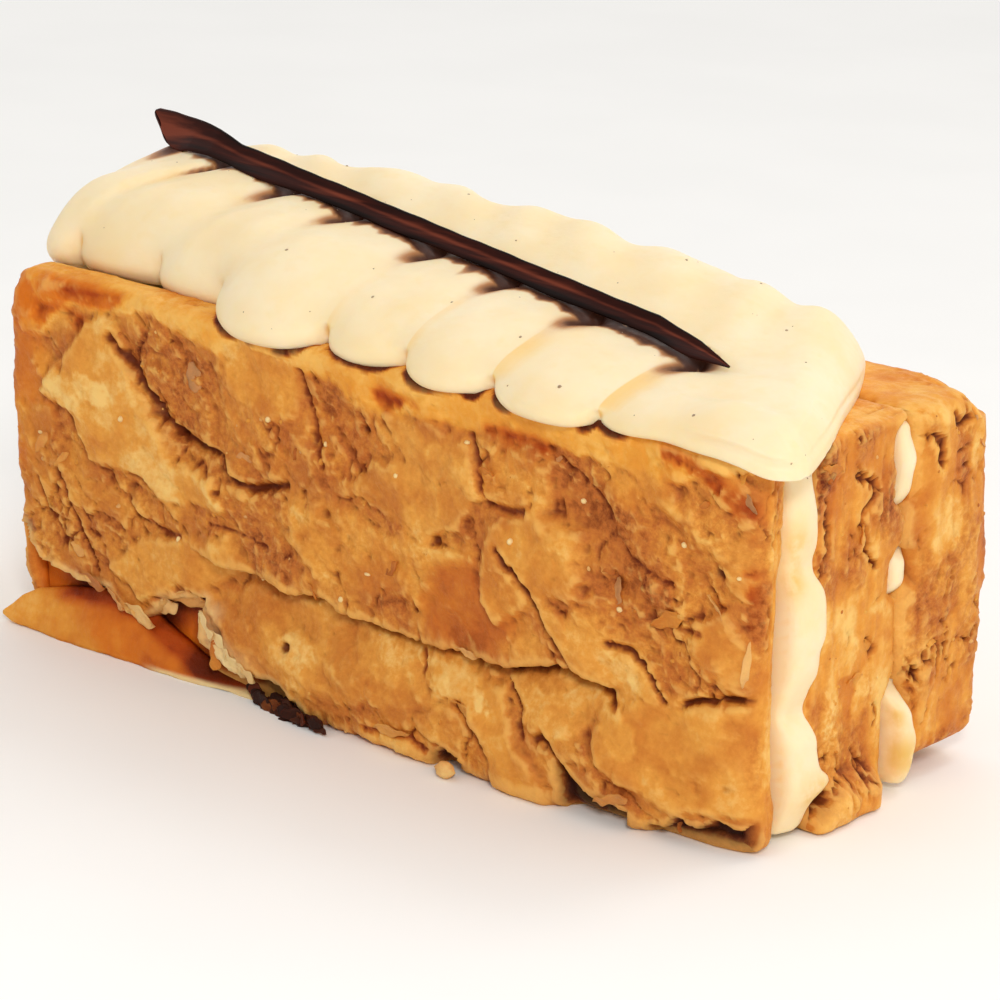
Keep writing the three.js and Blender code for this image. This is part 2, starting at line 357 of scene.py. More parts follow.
class Shader(Nodes):
    """The nodes of a material."""

    def __init__(self, name):
        self.material = bpy.data.materials.new(name)
        self.material.use_nodes = True
        super().__init__(self.material.node_tree)
        self.tree.nodes.clear()
        self.place = self.add("ShaderNodeTexCoord").outputs["Object"]

    def mask(self, name):
        return self.add("ShaderNodeAttribute", attribute_name=name).outputs["Fac"]

    def noise(self, size, detail=4, rough=0.55, stretch=None, twist=0.0):
        """Noise whose blotches are about that many millimetres across."""
        place = self.place
        if stretch:
            scaled = self.add("ShaderNodeMapping", {"Vector": place, "Scale": stretch})
            place = scaled.outputs["Vector"]
        made = self.add("ShaderNodeTexNoise", {
            "Vector": place,
            "Scale": 1 / (size * MM),
            "Detail": detail,
            "Roughness": rough,
            "Distortion": twist,
        })
        return made.outputs["Fac"]

    def maths(self, operation, a, b):
        return self.add("ShaderNodeMath", {0: a, 1: b}, operation=operation).outputs[0]

    def step(self, value, start, end, low=0.0, high=1.0):
        made = self.add(
            "ShaderNodeMapRange",
            {"Value": value, "From Min": start, "From Max": end, "To Min": low, "To Max": high},
            interpolation_type="SMOOTHSTEP",
        )
        return made.outputs["Result"]

    def washed(self, colour, *washes):
        """A colour with others over it, each with how much of it shows."""
        for share, wash in washes:
            colour = self.blend(share, colour, srgb(*wash))
        return colour

    def ramp(self, value, stops):
        made = self.add("ShaderNodeValToRGB", {"Fac": value})
        elements = made.color_ramp.elements
        while len(elements) < len(stops):
            elements.new(0.5)
        for element, (position, colour) in zip(elements, stops):
            element.position = position
            element.color = srgb(*colour)
        return made.outputs["Color"]

    def relief(self, height, depth, after=None):
        """Bump of that many millimetres, over the bump before it."""
        inputs = {"Height": height, "Distance": depth * MM}
        if after is not None:
            inputs["Normal"] = after
        return self.add("ShaderNodeBump", inputs).outputs["Normal"]

    def surface(self, **inputs):
        shader = self.add("ShaderNodeBsdfPrincipled")
        for key, value in inputs.items():
            self.put(shader.inputs[key.replace("_", " ")], value)
        output = self.add("ShaderNodeOutputMaterial")
        self.put(output.inputs["Surface"], shader.outputs[0])
        return self.material


# Colours, as red, green and blue from 0 to 255, and ramps of them from light to dark
BAKED = [
    (0.0, (244, 202, 122)),
    (0.22, (228, 158, 68)),
    (0.45, (208, 131, 52)),
    (0.7, (188, 106, 44)),
    (1.0, (108, 42, 10)),
]
SYRUPY = [
    (0.1, (242, 168, 56)),
    (0.5, (220, 114, 20)),
    (0.85, (176, 70, 12)),
    (1.0, (126, 42, 6)),
]
HOLLOW_SHADE_BROWN = (118, 46, 8)
RIM_HIGHLIGHT_GOLD = (246, 194, 106)
PALE_CRUMB_AND_GLINT = (246, 216, 156)
CHAR_AND_SHADE_DARK = (44, 17, 8)
CREAM_WHITE = (251, 230, 192)
CREAM_WARM = (249, 223, 175)
CUSTARD = (248, 218, 156)
CREAM_SHADE_YELLOW = (247, 203, 122)
SPOT_OCHRE = (228, 186, 92)
THIN_BLADE_SHADOW = (192, 132, 80)
DEEP_BLADE_SHADOW = (78, 36, 16)
# From dark to light
TEMPERED = [
    (0.0, (18, 4, 2)),
    (0.5, (54, 17, 9)),
    (1.0, (120, 56, 38)),
]
SEED_BROWN = (140, 112, 84)
SEED_PALE = (190, 164, 128)
FLOOR_GREY = (250, 250, 249)
FLOOR_WHITE = (252, 252, 251)


def pastry_colour(s, grain):
    """Straw to golden on the smooth leaves, mauve brown where they are torn, orange where
    syrup has run, and dark in the cracks, with painted shade in the hollows and painted
    highlights on the raised rims."""
    tone = s.mask("tone")
    hollow = s.mask("hollow")
    patches = s.noise(6.0, detail=3)
    crumbly = s.step(s.mask("crumb"), 0.0, 1.0, 0.35, 1.0)
    speckle = s.maths("MULTIPLY", s.step(grain, 0.3, 0.7, -0.18, 0.18), crumbly)
    shade = s.maths("ADD", tone, s.step(patches, 0.32, 0.68, -0.15, 0.15))
    dry = s.ramp(s.maths("ADD", shade, speckle), BAKED)
    glazed = s.ramp(s.maths("ADD", tone, s.step(patches, 0.3, 0.7, -0.1, 0.1)), SYRUPY)
    return s.washed(
        s.blend(s.mask("glaze"), dry, glazed),
        # Painted shade in the hollows, dark brown; painted highlight on the raised rims, gold
        (s.step(hollow, 0.02, 0.5, 0.0, 0.92), HOLLOW_SHADE_BROWN),
        (s.step(hollow, -0.03, -0.3, 0.0, 0.46), RIM_HIGHLIGHT_GOLD),
        (s.mask("pale"), PALE_CRUMB_AND_GLINT),
        # Char, and painted shadow at the wave's contact line, under the long crease and at the broken
        # corner
        (s.mask("burnt"), CHAR_AND_SHADE_DARK),
    )


def pastry_material():
    """Baked leaves, dry and rough, with a little light going through them."""
    s = Shader("baked_pastry")
    grain = s.noise(0.9, detail=6, rough=0.7)
    fine = s.noise(0.45, detail=5, rough=0.65)
    flaky = s.noise(2.2, detail=5, rough=0.6, twist=0.6)
    return s.surface(
        Base_Color=pastry_colour(s, grain),
        Roughness=s.step(grain, 0.25, 0.75, 0.34, 0.66),
        Normal=s.relief(fine, 0.09, after=s.relief(flaky, 0.28)),
        IOR=1.45,
        Specular_IOR_Level=0.16,
        Subsurface_Weight=0.12,
        Subsurface_Radius=(1.0, 0.45, 0.2),
        Subsurface_Scale=1.2 * MM,
    )


def cream_colour(s):
    """Clouded warm white, yellower with painted shade in the hollows and on the lobes' left
    flanks, with ochre spots that are partly painted shade, and painted shadow of the blade in
    brown.
    """
    patch = s.noise(2.4)
    cocoa = s.mask("cocoa")
    cloud = s.step(s.noise(9.0, detail=3), 0.3, 0.7)
    spots = s.maths("MULTIPLY", s.mask("stain"), s.step(patch, 0.3, 0.6, 0.3, 1.0))
    return s.washed(
        s.blend(cloud, srgb(*CREAM_WARM), srgb(*CREAM_WHITE)),
        (s.step(patch, 0.5, 0.75, 0.0, 0.3), CUSTARD),
        # Painted shade: a yellower tint in the hollows and on the lobes' left flanks
        (s.step(s.mask("hollow"), 0.0, 0.55, 0.0, 0.85), CREAM_SHADE_YELLOW),
        (spots, SPOT_OCHRE),
        # Painted shadow of the blade, light brown at its rim and dark brown within
        (s.step(cocoa, 0.0, 0.5), THIN_BLADE_SHADOW),
        (s.step(cocoa, 0.3, 1.0), DEEP_BLADE_SHADOW),
    )


def cream_material():
    """Vanilla custard cream: warm white, satin, with light going through it."""
    s = Shader("vanilla_cream")
    fine = s.noise(1.1)
    return s.surface(
        Base_Color=cream_colour(s),
        Roughness=s.step(fine, 0.3, 0.7, 0.38, 0.52),
        Normal=s.relief(fine, 0.05),
        IOR=1.42,
        Specular_IOR_Level=0.4,
        Subsurface_Weight=0.4,
        Subsurface_Radius=(1.0, 0.7, 0.36),
        Subsurface_Scale=2.0 * MM,
    )


def chocolate_material():
    """Milk-dark chocolate with a light streak along the blade and duller broken rims, and
    painted shade along the lower part and a painted highlight at the blunt left end.
    """
    s = Shader("tempered_chocolate")
    streak = s.noise(1.2, stretch=(0.05, 1.0, 1.0))
    shade = s.maths("ADD", s.mask("streak"), s.step(streak, 0.3, 0.7, -0.2, 0.2))
    return s.surface(
        Base_Color=s.ramp(shade, TEMPERED),
        Roughness=s.step(streak, 0.3, 0.7, 0.34, 0.5),
        Normal=s.relief(streak, 0.06),
        IOR=1.46,
        Specular_IOR_Level=0.1,
    )


def seed_material():
    """Vanilla seeds under a film of cream: soft grey brown."""
    s = Shader("vanilla_seed")
    shade = s.noise(0.3, detail=3)
    return s.surface(
        Base_Color=s.blend(s.step(shade, 0.3, 0.7), srgb(*SEED_BROWN), srgb(*SEED_PALE)),
        Roughness=s.step(shade, 0.3, 0.7, 0.4, 0.6),
        Normal=s.relief(shade, 0.04),
        IOR=1.45,
    )


# Pastry

# Tones from straw, 0, to brown, 1
TORN, TAN, GOLD = 0.62, 0.42, 0.26
# The leaves that show on the front face, from the lowest to the ones over them: how far
# each stands out, its tone, how crumbly it is, how syrupy, and its outline as places along
# X and Z
PLATES = [
    # The upper band, smooth and orange with syrup
    (0.3, 0.1, 0.15, 0.6, [(-58, 46), (-58, 36), (-50, 37), (-44, 40), (-34, 42), (-22, 40),
        (-8, 41), (6, 38.5), (17, 39), (30, 40), (42, 38), (52, 42), (60, 44), (60, 48),
        (-58, 48)]),
    (0.3, 0.68, 0.3, 0.9, [(-58, 44.5), (-58, 36), (-52, 36.6), (-45, 40.4), (-38, 41.6),
        (-36, 43.5), (-46, 43.6)]),
    (0.1, 0.46, 0.3, 0.5, [(-57, 37), (-50, 36), (-47, 31), (-50, 25), (-54, 20), (-57, 24)]),
    # Broad golden leaf at the left, over torn folds
    (0.9, 0.2, 0.15, 0.1, [(-50, 30.5), (-46, 35), (-42.5, 39), (-38, 39.5), (-36, 36.5),
        (-33.2, 34), (-31, 30.5), (-28.5, 26.6), (-21, 25.8), (-19.2, 22.5), (-27, 21.4),
        (-33, 23), (-41, 24), (-44, 28)]),
    (0.5, TAN, 0.3, 0.1, [(-53, 27.5), (-48.5, 28.5), (-47.5, 25), (-50, 23.2), (-53.5, 24)]),
    # The mauve hollow in the upper left and the torn leaf below it
    (-0.7, TORN, 1.0, 0.0, [(-35.5, 38), (-30, 40.5), (-22, 38.5), (-18, 33.5), (-17.5, 29),
        (-21, 27), (-27, 27), (-31, 31), (-34, 34.5)]),
    (0.1, 0.5, 0.6, 0.1, [(-20, 38), (-10, 36.5), (-8, 31), (-12, 28), (-18, 29), (-20, 33)]),
    (0.4, 0.34, 0.3, 0.15, [(-20, 41.5), (-9, 42), (-8, 36), (-12, 34.5), (-19, 36)]),
    (-0.3, TORN, 0.9, 0.0, [(-18.5, 23.2), (-10, 23), (-7, 19.5), (-7.5, 16.2), (-15, 17.2),
        (-19, 20)]),
    # The hollow right of the middle, and the smooth hump under it
    (-0.6, TORN, 0.8, 0.1, [(-7.5, 38), (-3, 37.5), (5.5, 35.2), (6, 33.8), (0, 30.6), (-4, 29.4),
        (-6, 32)]),
    (0.7, 0.42, 0.2, 0.0, [(5, 38), (11, 39), (16.8, 37.8), (19, 33), (16, 28), (9, 26.3),
        (1, 28.6), (0.8, 31), (6.6, 34)]),
    (0.3, 0.4, 0.45, 0.1, [(-9, 25.5), (-3, 27), (2, 26), (13, 25.4), (18.5, 27.5), (19, 22),
        (13, 18), (2, 18.4), (-6, 18.6), (-9, 21)]),
    (-0.2, 0.66, 0.15, 0.35, [(13.5, 24), (20, 25), (25.5, 20.5), (22, 15.6), (13, 15.4),
        (11, 19)]),
    # Golden plates stepping down to the right
    (0.3, TAN, 0.5, 0.1, [(18.5, 38), (27.8, 37), (28.2, 33.5), (24, 32.2), (18.5, 32),
        (17.5, 35)]),
    (0.8, 0.36, 0.2, 0.1, [(20, 30), (27, 32.3), (32.6, 31.4), (33.6, 27), (32.8, 23.5),
        (27, 22.8), (22, 18.4), (19, 22.5)]),
    (-0.9, 0.78, 0.5, 0.0, [(28.5, 38), (35, 36.5), (41.5, 30.5), (43, 26.5), (36, 25.5),
        (33.6, 27.5), (33, 31.8), (28.8, 33.2)]),
    (0.0, 0.5, 1.0, 0.05, [(36, 35.5), (44, 38.5), (50, 37), (51, 26), (56, 24), (56, 18.5),
        (49, 17.5), (43.5, 18), (41, 20.5), (37, 20.6), (34.5, 24.5), (41, 28)]),
    (0.4, 0.3, 0.35, 0.2, [(34, 39.5), (44, 39), (46, 36.5), (38, 35.8)]),
    (0.7, TAN, 0.2, 0.1, [(47.5, 25.6), (52, 26.5), (56.5, 21.5), (56.5, 18.6), (49.5, 18.8)]),
    (0.6, GOLD, 0.25, 0.1, [(28.2, 22), (33.5, 23.6), (37, 20.2), (42, 18.6), (44.6, 14.9),
        (39, 13.2), (33.2, 16.2), (30.8, 16.4)]),
    # The band that runs up to the right from the broken corner
    (0.7, 0.36, 0.2, 0.05, [(-38, 11), (-33.5, 15), (-26, 17), (-19, 19.6), (-15.5, 17),
        (-21, 13.4), (-27, 10.2), (-33, 8.2)]),
    # Lower block
    (0.3, 0.37, 0.3, 0.05, [(-22.6, 10.6), (-16, 13.2), (-5, 14.4), (1, 13), (11, 12.6), (11.8, 7),
        (2, 4.4), (-8, 4), (-17, 3.4), (-20, 7)]),
    (0.8, 0.34, 0.1, 0.15, [(11.5, 13), (19, 13), (22.6, 11.4), (26, 6.4), (30, 1), (30, -2),
        (24, -2), (21.5, 4.6), (18, 8), (14, 8.6)]),
    (0.5, 0.28, 0.3, 0.05, [(23.2, 12), (30, 15), (37, 13.4), (34.5, 9.6), (30, 7.8),
        (27.2, 8.4)]),
    (0.8, 0.33, 0.08, 0.12, [(38.5, 13), (44.5, 15.6), (56, 17.2), (58, 12), (57.6, 5.6),
        (51, 4.4), (46.5, 3.6), (41, 4.6), (36.5, 7.4), (35.2, 10)]),
    (0.2, 0.3, 0.4, 0.3, [(3.5, 2.4), (10, 3), (13.4, 1.8), (13, -2), (2, -2)]),
]

# Cracks in the front face: depth, width and course
CRACKS = [
    (1.2, 1.0, [(-38.1, 38.2), (-33.7, 35.1), (-31.6, 32.2), (-28.2, 29.5), (-25.6, 28.7),
        (-21.2, 28.3), (-19.1, 25.9), (-14.4, 25.9), (-10.1, 27.2)]),
    (0.6, 0.8, [(-8.6, 40.5), (-7.6, 37.8), (-6.8, 36.5), (-4.5, 30.6)]),
    (0.7, 0.8, [(16.6, 38.3), (18.1, 35.3), (19.5, 31.8), (25.4, 32)]),
    (0.9, 0.8, [(22, 27.3), (26.7, 23.5), (29, 19.6), (31.5, 17.3), (33.3, 15.3), (36.5, 14.1),
        (38.2, 13.1)]),
    (0.9, 0.7, [(36.8, 20.1), (40, 19.9), (42, 18.3), (43.5, 16.6), (44.5, 15.4)]),
    (1.6, 0.7, [(46.8, 15.5), (48.8, 16.4), (50.5, 16.5)]),
    (1.6, 0.7, [(51.5, 17), (53.6, 17.3), (55.5, 17.6)]),
    (0.5, 0.6, [(10.2, 12.4), (11, 10)]),
    (0.8, 0.7, [(22.8, 12.1), (25, 9.1), (26.4, 7)]),
    (1.0, 0.6, [(16.5, 7.9), (18.4, 7), (20.3, 4.8)]),
    (0.6, 0.6, [(3.7, 2.2), (10.1, 2.9), (13.1, 2.1)]),
    (1.4, 0.9, [(28.9, 7.5), (31.6, 5.3), (35, 2.5), (39.7, 1.6)]),
    (0.7, 0.9, [(-47, 21.1), (-44.5, 15.4), (-41.2, 9.8)]),
    (0.8, 0.9, [(-50.6, 19.4), (-49.4, 15.5), (-46, 12.1)]),
    (0.5, 0.8, [(-42.4, 17.2), (-42, 14.8), (-40.6, 14.2)]),
    (0.5, 0.8, [(-34.8, 18.6), (-30, 16.9), (-26.5, 17.4)]),
    (0.5, 0.7, [(29, 38.4), (33.4, 36), (36, 34.4)]),
    (0.5, 0.7, [(38, 30.4), (41.5, 29), (45, 28.4)]),
    (0.4, 0.6, [(-22, 20), (-15, 20.2), (-12.6, 19.4)]),
    (0.5, 0.6, [(44.5, 25.5), (46, 23.8), (49, 24)]),
]

# Red brown caramel lines near the top edge
CARAMEL = [
    [(19, 39.4), (23, 39.6), (27.4, 39.2)],
    [(43.7, 42.1), (47.5, 41.8), (50.3, 40.8), (53.9, 37.9), (55, 34.8)],
    [(46.4, 41.3), (50, 40), (52.6, 37.4)],
    [(54.6, 31.5), (55, 28), (54.6, 25)],
    [(3.6, 40.6), (8.6, 39.8)],
    [(-45, 42.2), (-41, 42.4), (-37.6, 43)],
    [(-50, 39.4), (-46, 39.8), (-43.4, 39)],
]

# Small pits: place, size and depth
PITS = [
    (1.4, 36.0, 0.8, 1.2), (12.8, 26.0, 0.7, 0.9), (3.3, 22.1, 0.8, 0.5), (-0.9, 21.8, 1.4, 0.6),
    (-9.6, 8.0, 1.0, 1.5), (-28.2, 29.4, 1.0, 1.2), (50.3, 30.8, 1.4, 1.1), (-3.2, 25.6, 1.2, 0.7),
    (54.8, 24.6, 0.7, 0.6), (21.2, 37.6, 0.8, 0.7), (-22.6, 38.2, 0.8, 0.5),
    (30.4, 26.0, 1.2, 0.3), (24.6, 25.8, 1.5, 0.4), (52.4, 7.4, 0.9, 0.3), (35.6, 5.8, 0.8, 0.6),
]

# Where the outer leaves have broken away at the lower left, with an inner one bared
BROKEN_CORNER = [
    (-62, 13.6), (-54, 12.8), (-50.6, 9.2), (-44.6, 8.0), (-39, 7.8), (-36.8, 6.0), (-34.5, 5.0),
    (-31, 6.8), (-29.5, 8.8), (-27, 9.6), (-23.4, 10.4), (-24.0, 7.4), (-23.8, 4.6), (-22, 4.2),
    (-19.9, 3.2), (-17.2, 2.2), (-15, 2.8), (-12.5, 3.2), (-9.5, 2.3), (-6.5, 1.2), (-4, -1),
    (-4, -4), (-62, -4),
]
BROKEN_DEPTH = 2.6

# Burnt hollows along the foot
FOOT_HOLLOWS = [
    [(31, 5.6), (33.5, 4.4), (36.5, 2.8), (40.8, 2.0), (41.2, -3), (33, -3), (31.8, 2.4)],
    [(42.6, -3), (43.4, 1.0), (45.6, 1.6), (47.2, 2.9), (49.4, 2.3), (51.4, 3.4), (53.6, 2.6),
        (55.4, 3.8), (59, 3.4), (59, -3)],
    [(13.2, -3), (14.0, 1.6), (15.4, 2.7), (17.4, 2.2), (19.2, -3)],
    [(-15.4, -3), (-14, 1.6), (-11.5, 2.3), (-8.4, 1.2), (-5, -3)],
]

# The long crease, below which the lower block stands back and swells out again
CREASE = [
    (-22, 16.2), (-15.9, 16), (-11.5, 15.5), (-7.5, 15.4), (-3.2, 15.9), (-0.9, 14.6), (2.7, 14.3),
    (10.5, 14), (19.9, 14.4), (23, 14.1), (30.5, 16.2), (37, 15),
]


def folds(u, v, slant=-0.7):
    """Soft long folds, in millimetres, that run down a face at a slant."""
    along = u * math.cos(slant) + v * math.sin(slant)
    across = v * math.cos(slant) - u * math.sin(slant)
    return 0.55 * SWELL.layers(along * 0.045, across * 0.17, 14.0, octaves=2)


def leafy(u, v, seed, size, slant):
    """Overlapping torn leaves on a face: height in millimetres, tone and crumbliness."""
    along = u * math.cos(slant) - v * math.sin(slant)
    across = u * math.sin(slant) + v * math.cos(slant)
    bend_a = 0.35 * SWELL.layers(u * 0.12, v * 0.12, seed + 0.5)
    bend_b = 0.35 * SWELL.layers(u * 0.12, v * 0.12, seed + 4.5)
    border, level, from_a = FLAKE.cells(along / size + bend_a + seed, across / (0.5 * size) + bend_b)
    _, small_level, from_small = FLAKE.cells(
        along / (0.36 * size) + bend_b,
        across / (0.17 * size) + bend_a + seed,
    )
    height = 1.1 * level + 0.5 * from_a - 0.5 * smooth(0.1, 0.0, border)
    height = height + 0.35 * small_level + 0.2 * from_small
    tone = 0.52 - 0.26 * level + 0.12 * SWELL.layers(u * 0.07, v * 0.07, seed + 9)
    return height - 0.7, tone, 0.35 + 0.5 * smooth(0.6, 0.2, level)


def crumbs(u, v, seed):
    """Fine torn relief, from about -1 to 1."""
    coarse = ROUGH.ridges(u * 0.42, v * 0.5, seed)
    fine = ROUGH.layers(u * 0.9, v * 1.0, seed + 3, octaves=3)
    _, level, _ = FLAKE.cells(u * 0.62 + 0.4 * fine, v * 0.85 + seed)
    return 0.9 * (coarse - 0.62) + 0.4 * fine + 0.5 * (level - 0.5)


def sink(face, groove, depth, char, dark=None):
    """Sinks a groove into a face, chars its floor and may darken it. The groove runs from
    0 beside it to 1 at its bottom."""
    face["height"] = face["height"] - depth * groove
    face["burnt"] = np.maximum(face["burnt"], char * groove ** 2)
    if dark:
        face["tone"] = np.maximum(face["tone"], dark * groove)


def front_face(x, z, _):
    """The face that the photo shows best."""
    wobble = 0.8 * SWELL.layers(x * 0.3, z * 0.3, 2.0) + 0.35 * ROUGH.layers(x * 1.1, z * 1.1, 5.0)
    face = laid_leaves(x, z, wobble)
    for change in (roughen, crack, run_caramel, pit, hang_and_swell, break_corner, burn_foot):
        change(face, x, z, wobble)
    return face


def laid_leaves(x, z, wobble):
    """The leaves of PLATES, one over the other, on a ground of small torn ones."""
    wander = 0.9 * SWELL.layers(x * 0.17, z * 0.17, 12.0, octaves=2)
    height, tone, crumb = leafy(x, z, 3.0, size=7.5, slant=0.6)
    height = 0.45 * height
    tone = mix(tone, TORN, 0.6)
    glaze = np.zeros_like(x)
    for rise, hue, grain, syrup, outline in PLATES:
        # The leaves that stand out have sharp edges, and the others fade in
        edge = 1.0 if rise > 0.25 else 2.2
        depth = inside_depth(x, z, outline) + 0.9 * wobble + wander
        cover = smooth(-0.75 * edge, 0.5 * edge, depth)
        own = 0.35 * SWELL.layers(x * 0.11, z * 0.16, rise + 10 * hue, octaves=2)
        height = mix(height, rise + own + 0.3 * height, cover)
        tone = mix(tone, hue + 0.2 * (tone - 0.5), cover)
        crumb = mix(crumb, grain, cover)
        glaze = mix(glaze, syrup, cover)
    return dict(height=height, tone=tone, crumb=crumb, glaze=glaze)


def roughen(face, x, z, wobble):
    """Broad swellings, small torn leaves, crumbs and thin cracks."""
    crumb = face["crumb"]
    torn, hue = torn_leaves(x, z, 5, 260, -0.6)
    cracks = wandering_cracks(x, z, 4.0, size=4.0) * smooth(0.2, 0.7, crumb)
    height = face["height"] + 0.5 * SWELL.layers(x * 0.05, z * 0.08, 7.0, octaves=2) + folds(x, z)
    height = height + (0.1 + 0.42 * crumb) * crumbs(x, z, 1.0)
    face["height"] = height + (0.3 + 0.6 * crumb) * torn - 0.6 * cracks
    face["tone"] = face["tone"] + hue + 0.3 * cracks
    face["burnt"] = 0.25 * cracks ** 2


def crack(face, x, z, wobble):
    """The cracks that the photo shows; the deep ones are charred."""
    for depth, width, course in CRACKS:
        off = line_distance(x + 0.8 * wobble, z + 0.5 * wobble, course)
        groove = bump(0, width * (0.55 + 0.25 * wobble), off)
        sink(face, groove, depth, char=0.35 if depth > 0.85 else 0, dark=0.9)


def run_caramel(face, x, z, wobble):
    """Broken dark lines where caramel has run."""
    for course in CARAMEL:
        off = line_distance(x + 1.2 * wobble, z + 0.9 * wobble, course)
        line = bump(0, 0.8 + 0.5 * wobble, off) * np.clip(0.75 + 0.9 * wobble, 0.15, 1)
        face["height"] = face["height"] - 0.45 * line
        face["tone"] = np.maximum(face["tone"], mix(face["tone"], 0.9, line))
        face["glaze"] = np.maximum(face["glaze"], line)


def pit(face, x, z, wobble):
    """The pits that the photo shows; the deep ones are charred."""
    for pit_x, pit_z, size, depth in PITS:
        hole = bump(0, size * (0.6 + 0.2 * wobble), np.hypot(x - pit_x, z - pit_z))
        sink(face, hole, depth, char=0.5 if depth > 0.8 else 0)


def hang_and_swell(face, x, z, wobble):
    """The long crease: the leaves over it hang down, and the block below it stands back
    and swells out again at its foot."""
    line = np.interp(x, *np.transpose(CREASE)) + 0.5 * wobble
    along = smooth(-26, -20, x) * smooth(40, 33, x)
    above = smooth(line - 0.5, line + 0.7, z)
    upper = above * smooth(HEIGHT - 6, HEIGHT / 2, z)
    cut = (1 - above) * smooth(5, 15, z)
    foot = smooth(15, 6, z) * smooth(-16, 2, x) * smooth(52, 36, x)
    face["height"] = face["height"] + along * (1.0 * upper - 1.5 * cut) + 2.0 * foot
    # Painted shadow under the overhanging leaves, as a darkened and charred groove
    groove = along * bump(0, 0.9, z - line + 0.3) * smooth(-26, -6, x)
    sink(face, groove, 1.0, char=0.45, dark=0.95)
    face["drop"] = 0.9 * along * above * bump(0, 1.4, z - line - 0.8)


def break_corner(face, x, z, wobble):
    """The lower left corner, where the outer leaves have broken away."""
    ragged = inside_depth(x, z, BROKEN_CORNER) + 0.3 * wobble
    broken = smooth(-0.15, 0.35, ragged)
    inner = -BROKEN_DEPTH + 0.25 * SWELL.layers(x * 0.15, z * 0.3, 3.0, octaves=2)
    # Painted shade on the bared leaf under the torn edge of the leaves over it, as darker tone and char
    deep = smooth(4.5, 0.3, ragged) * broken * smooth(-53, -46, x)
    bared = dict(height=inner, tone=mix(TORN, 1.0, deep), glaze=1.0, burnt=0.5 * deep)
    for key, value in bared.items():
        face[key] = mix(face[key], value, broken)
    lip = smooth(-1.4, -0.3, ragged) * (1 - broken)
    jagged = smooth(-4.5, -0.5, ragged) * (1 - broken) * bump(-19.5, 3.6, x) * smooth(11, 9, z)
    pale = 0.45 * lip * (0.6 + 0.8 * wobble).clip(0, 1)
    face["pale"] = np.maximum(pale, 0.95 * jagged)


def burn_foot(face, x, z, wobble):
    """Burnt hollows along the foot, and painted shade in a darker line above the ground."""
    for outline in FOOT_HOLLOWS:
        hole = smooth(-0.3, 0.4, inside_depth(x, z, outline) + 0.5 * wobble)
        face["height"] = mix(face["height"], face["height"] - 2.1, hole)
        face["tone"] = mix(face["tone"], 0.98, hole)
        face["burnt"] = np.maximum(face["burnt"], 0.9 * hole)
    foot_shade = smooth(2.2, 0.0, z) * smooth(-14, -8, x)
    face["tone"] = np.maximum(face["tone"], 0.75 * foot_shade)


def wandering_cracks(u, v, seed, size=3.0):
    """Thin cracks that wander over a face, here and there, from 0 to 1."""
    course = ROUGH.layers(u / size, 0.6 * v / size, seed, octaves=2)
    where = smooth(0.05, 0.4, SWELL.layers(u * 0.13, v * 0.1, seed + 6, octaves=2))
    return np.clip(1 - 9 * np.abs(course), 0, 1) * where


def torn_leaves(u, v, seed, count, slant, size=1.0):
    """Small torn leaves that lie over each other, each standing off at one long edge.
    Gives height in millimetres and a change of tone."""
    draw = np.random.default_rng(seed)
    low, high = (u.min(), v.min()), (u.max(), v.max())
    height, tone = np.zeros_like(u), np.zeros_like(u)
    ragged = 0.3 * ROUGH.layers(u * 0.6, v * 0.6, seed + 0.5)
    ragged = ragged + 0.12 * ROUGH.at(u * 2.1, v * 2.1, seed + 0.5)
    for _ in range(count):
        middle_u, middle_v = draw.uniform(low, high)
        long = size * draw.uniform(2.0, 6.5)
        short = size * draw.uniform(0.9, 2.6)
        turn = slant + draw.normal(0, 0.45)
        lift = draw.uniform(0.2, 0.65) * draw.choice((-1, 1), p=(0.3, 0.7))
        hue = draw.normal(0, 0.07)
        near = (np.abs(u - middle_u) < long + 1) & (np.abs(v - middle_v) < long + 1)
        du, dv = u[near] - middle_u, v[near] - middle_v
        along = (du * math.cos(turn) + dv * math.sin(turn)) / long
        across = (dv * math.cos(turn) - du * math.sin(turn)) / short
        inside = smooth(1.05, 0.9, np.hypot(along, across) + ragged[near])
        raised = abs(lift) * smooth(-1, 0.7, across * np.sign(lift))
        height[near] = mix(height[near], 0.6 * height[near] + raised, inside)
        tone[near] = mix(tone[near], 0.5 * tone[near] + hue - 0.1 * raised, inside)
    return height, tone


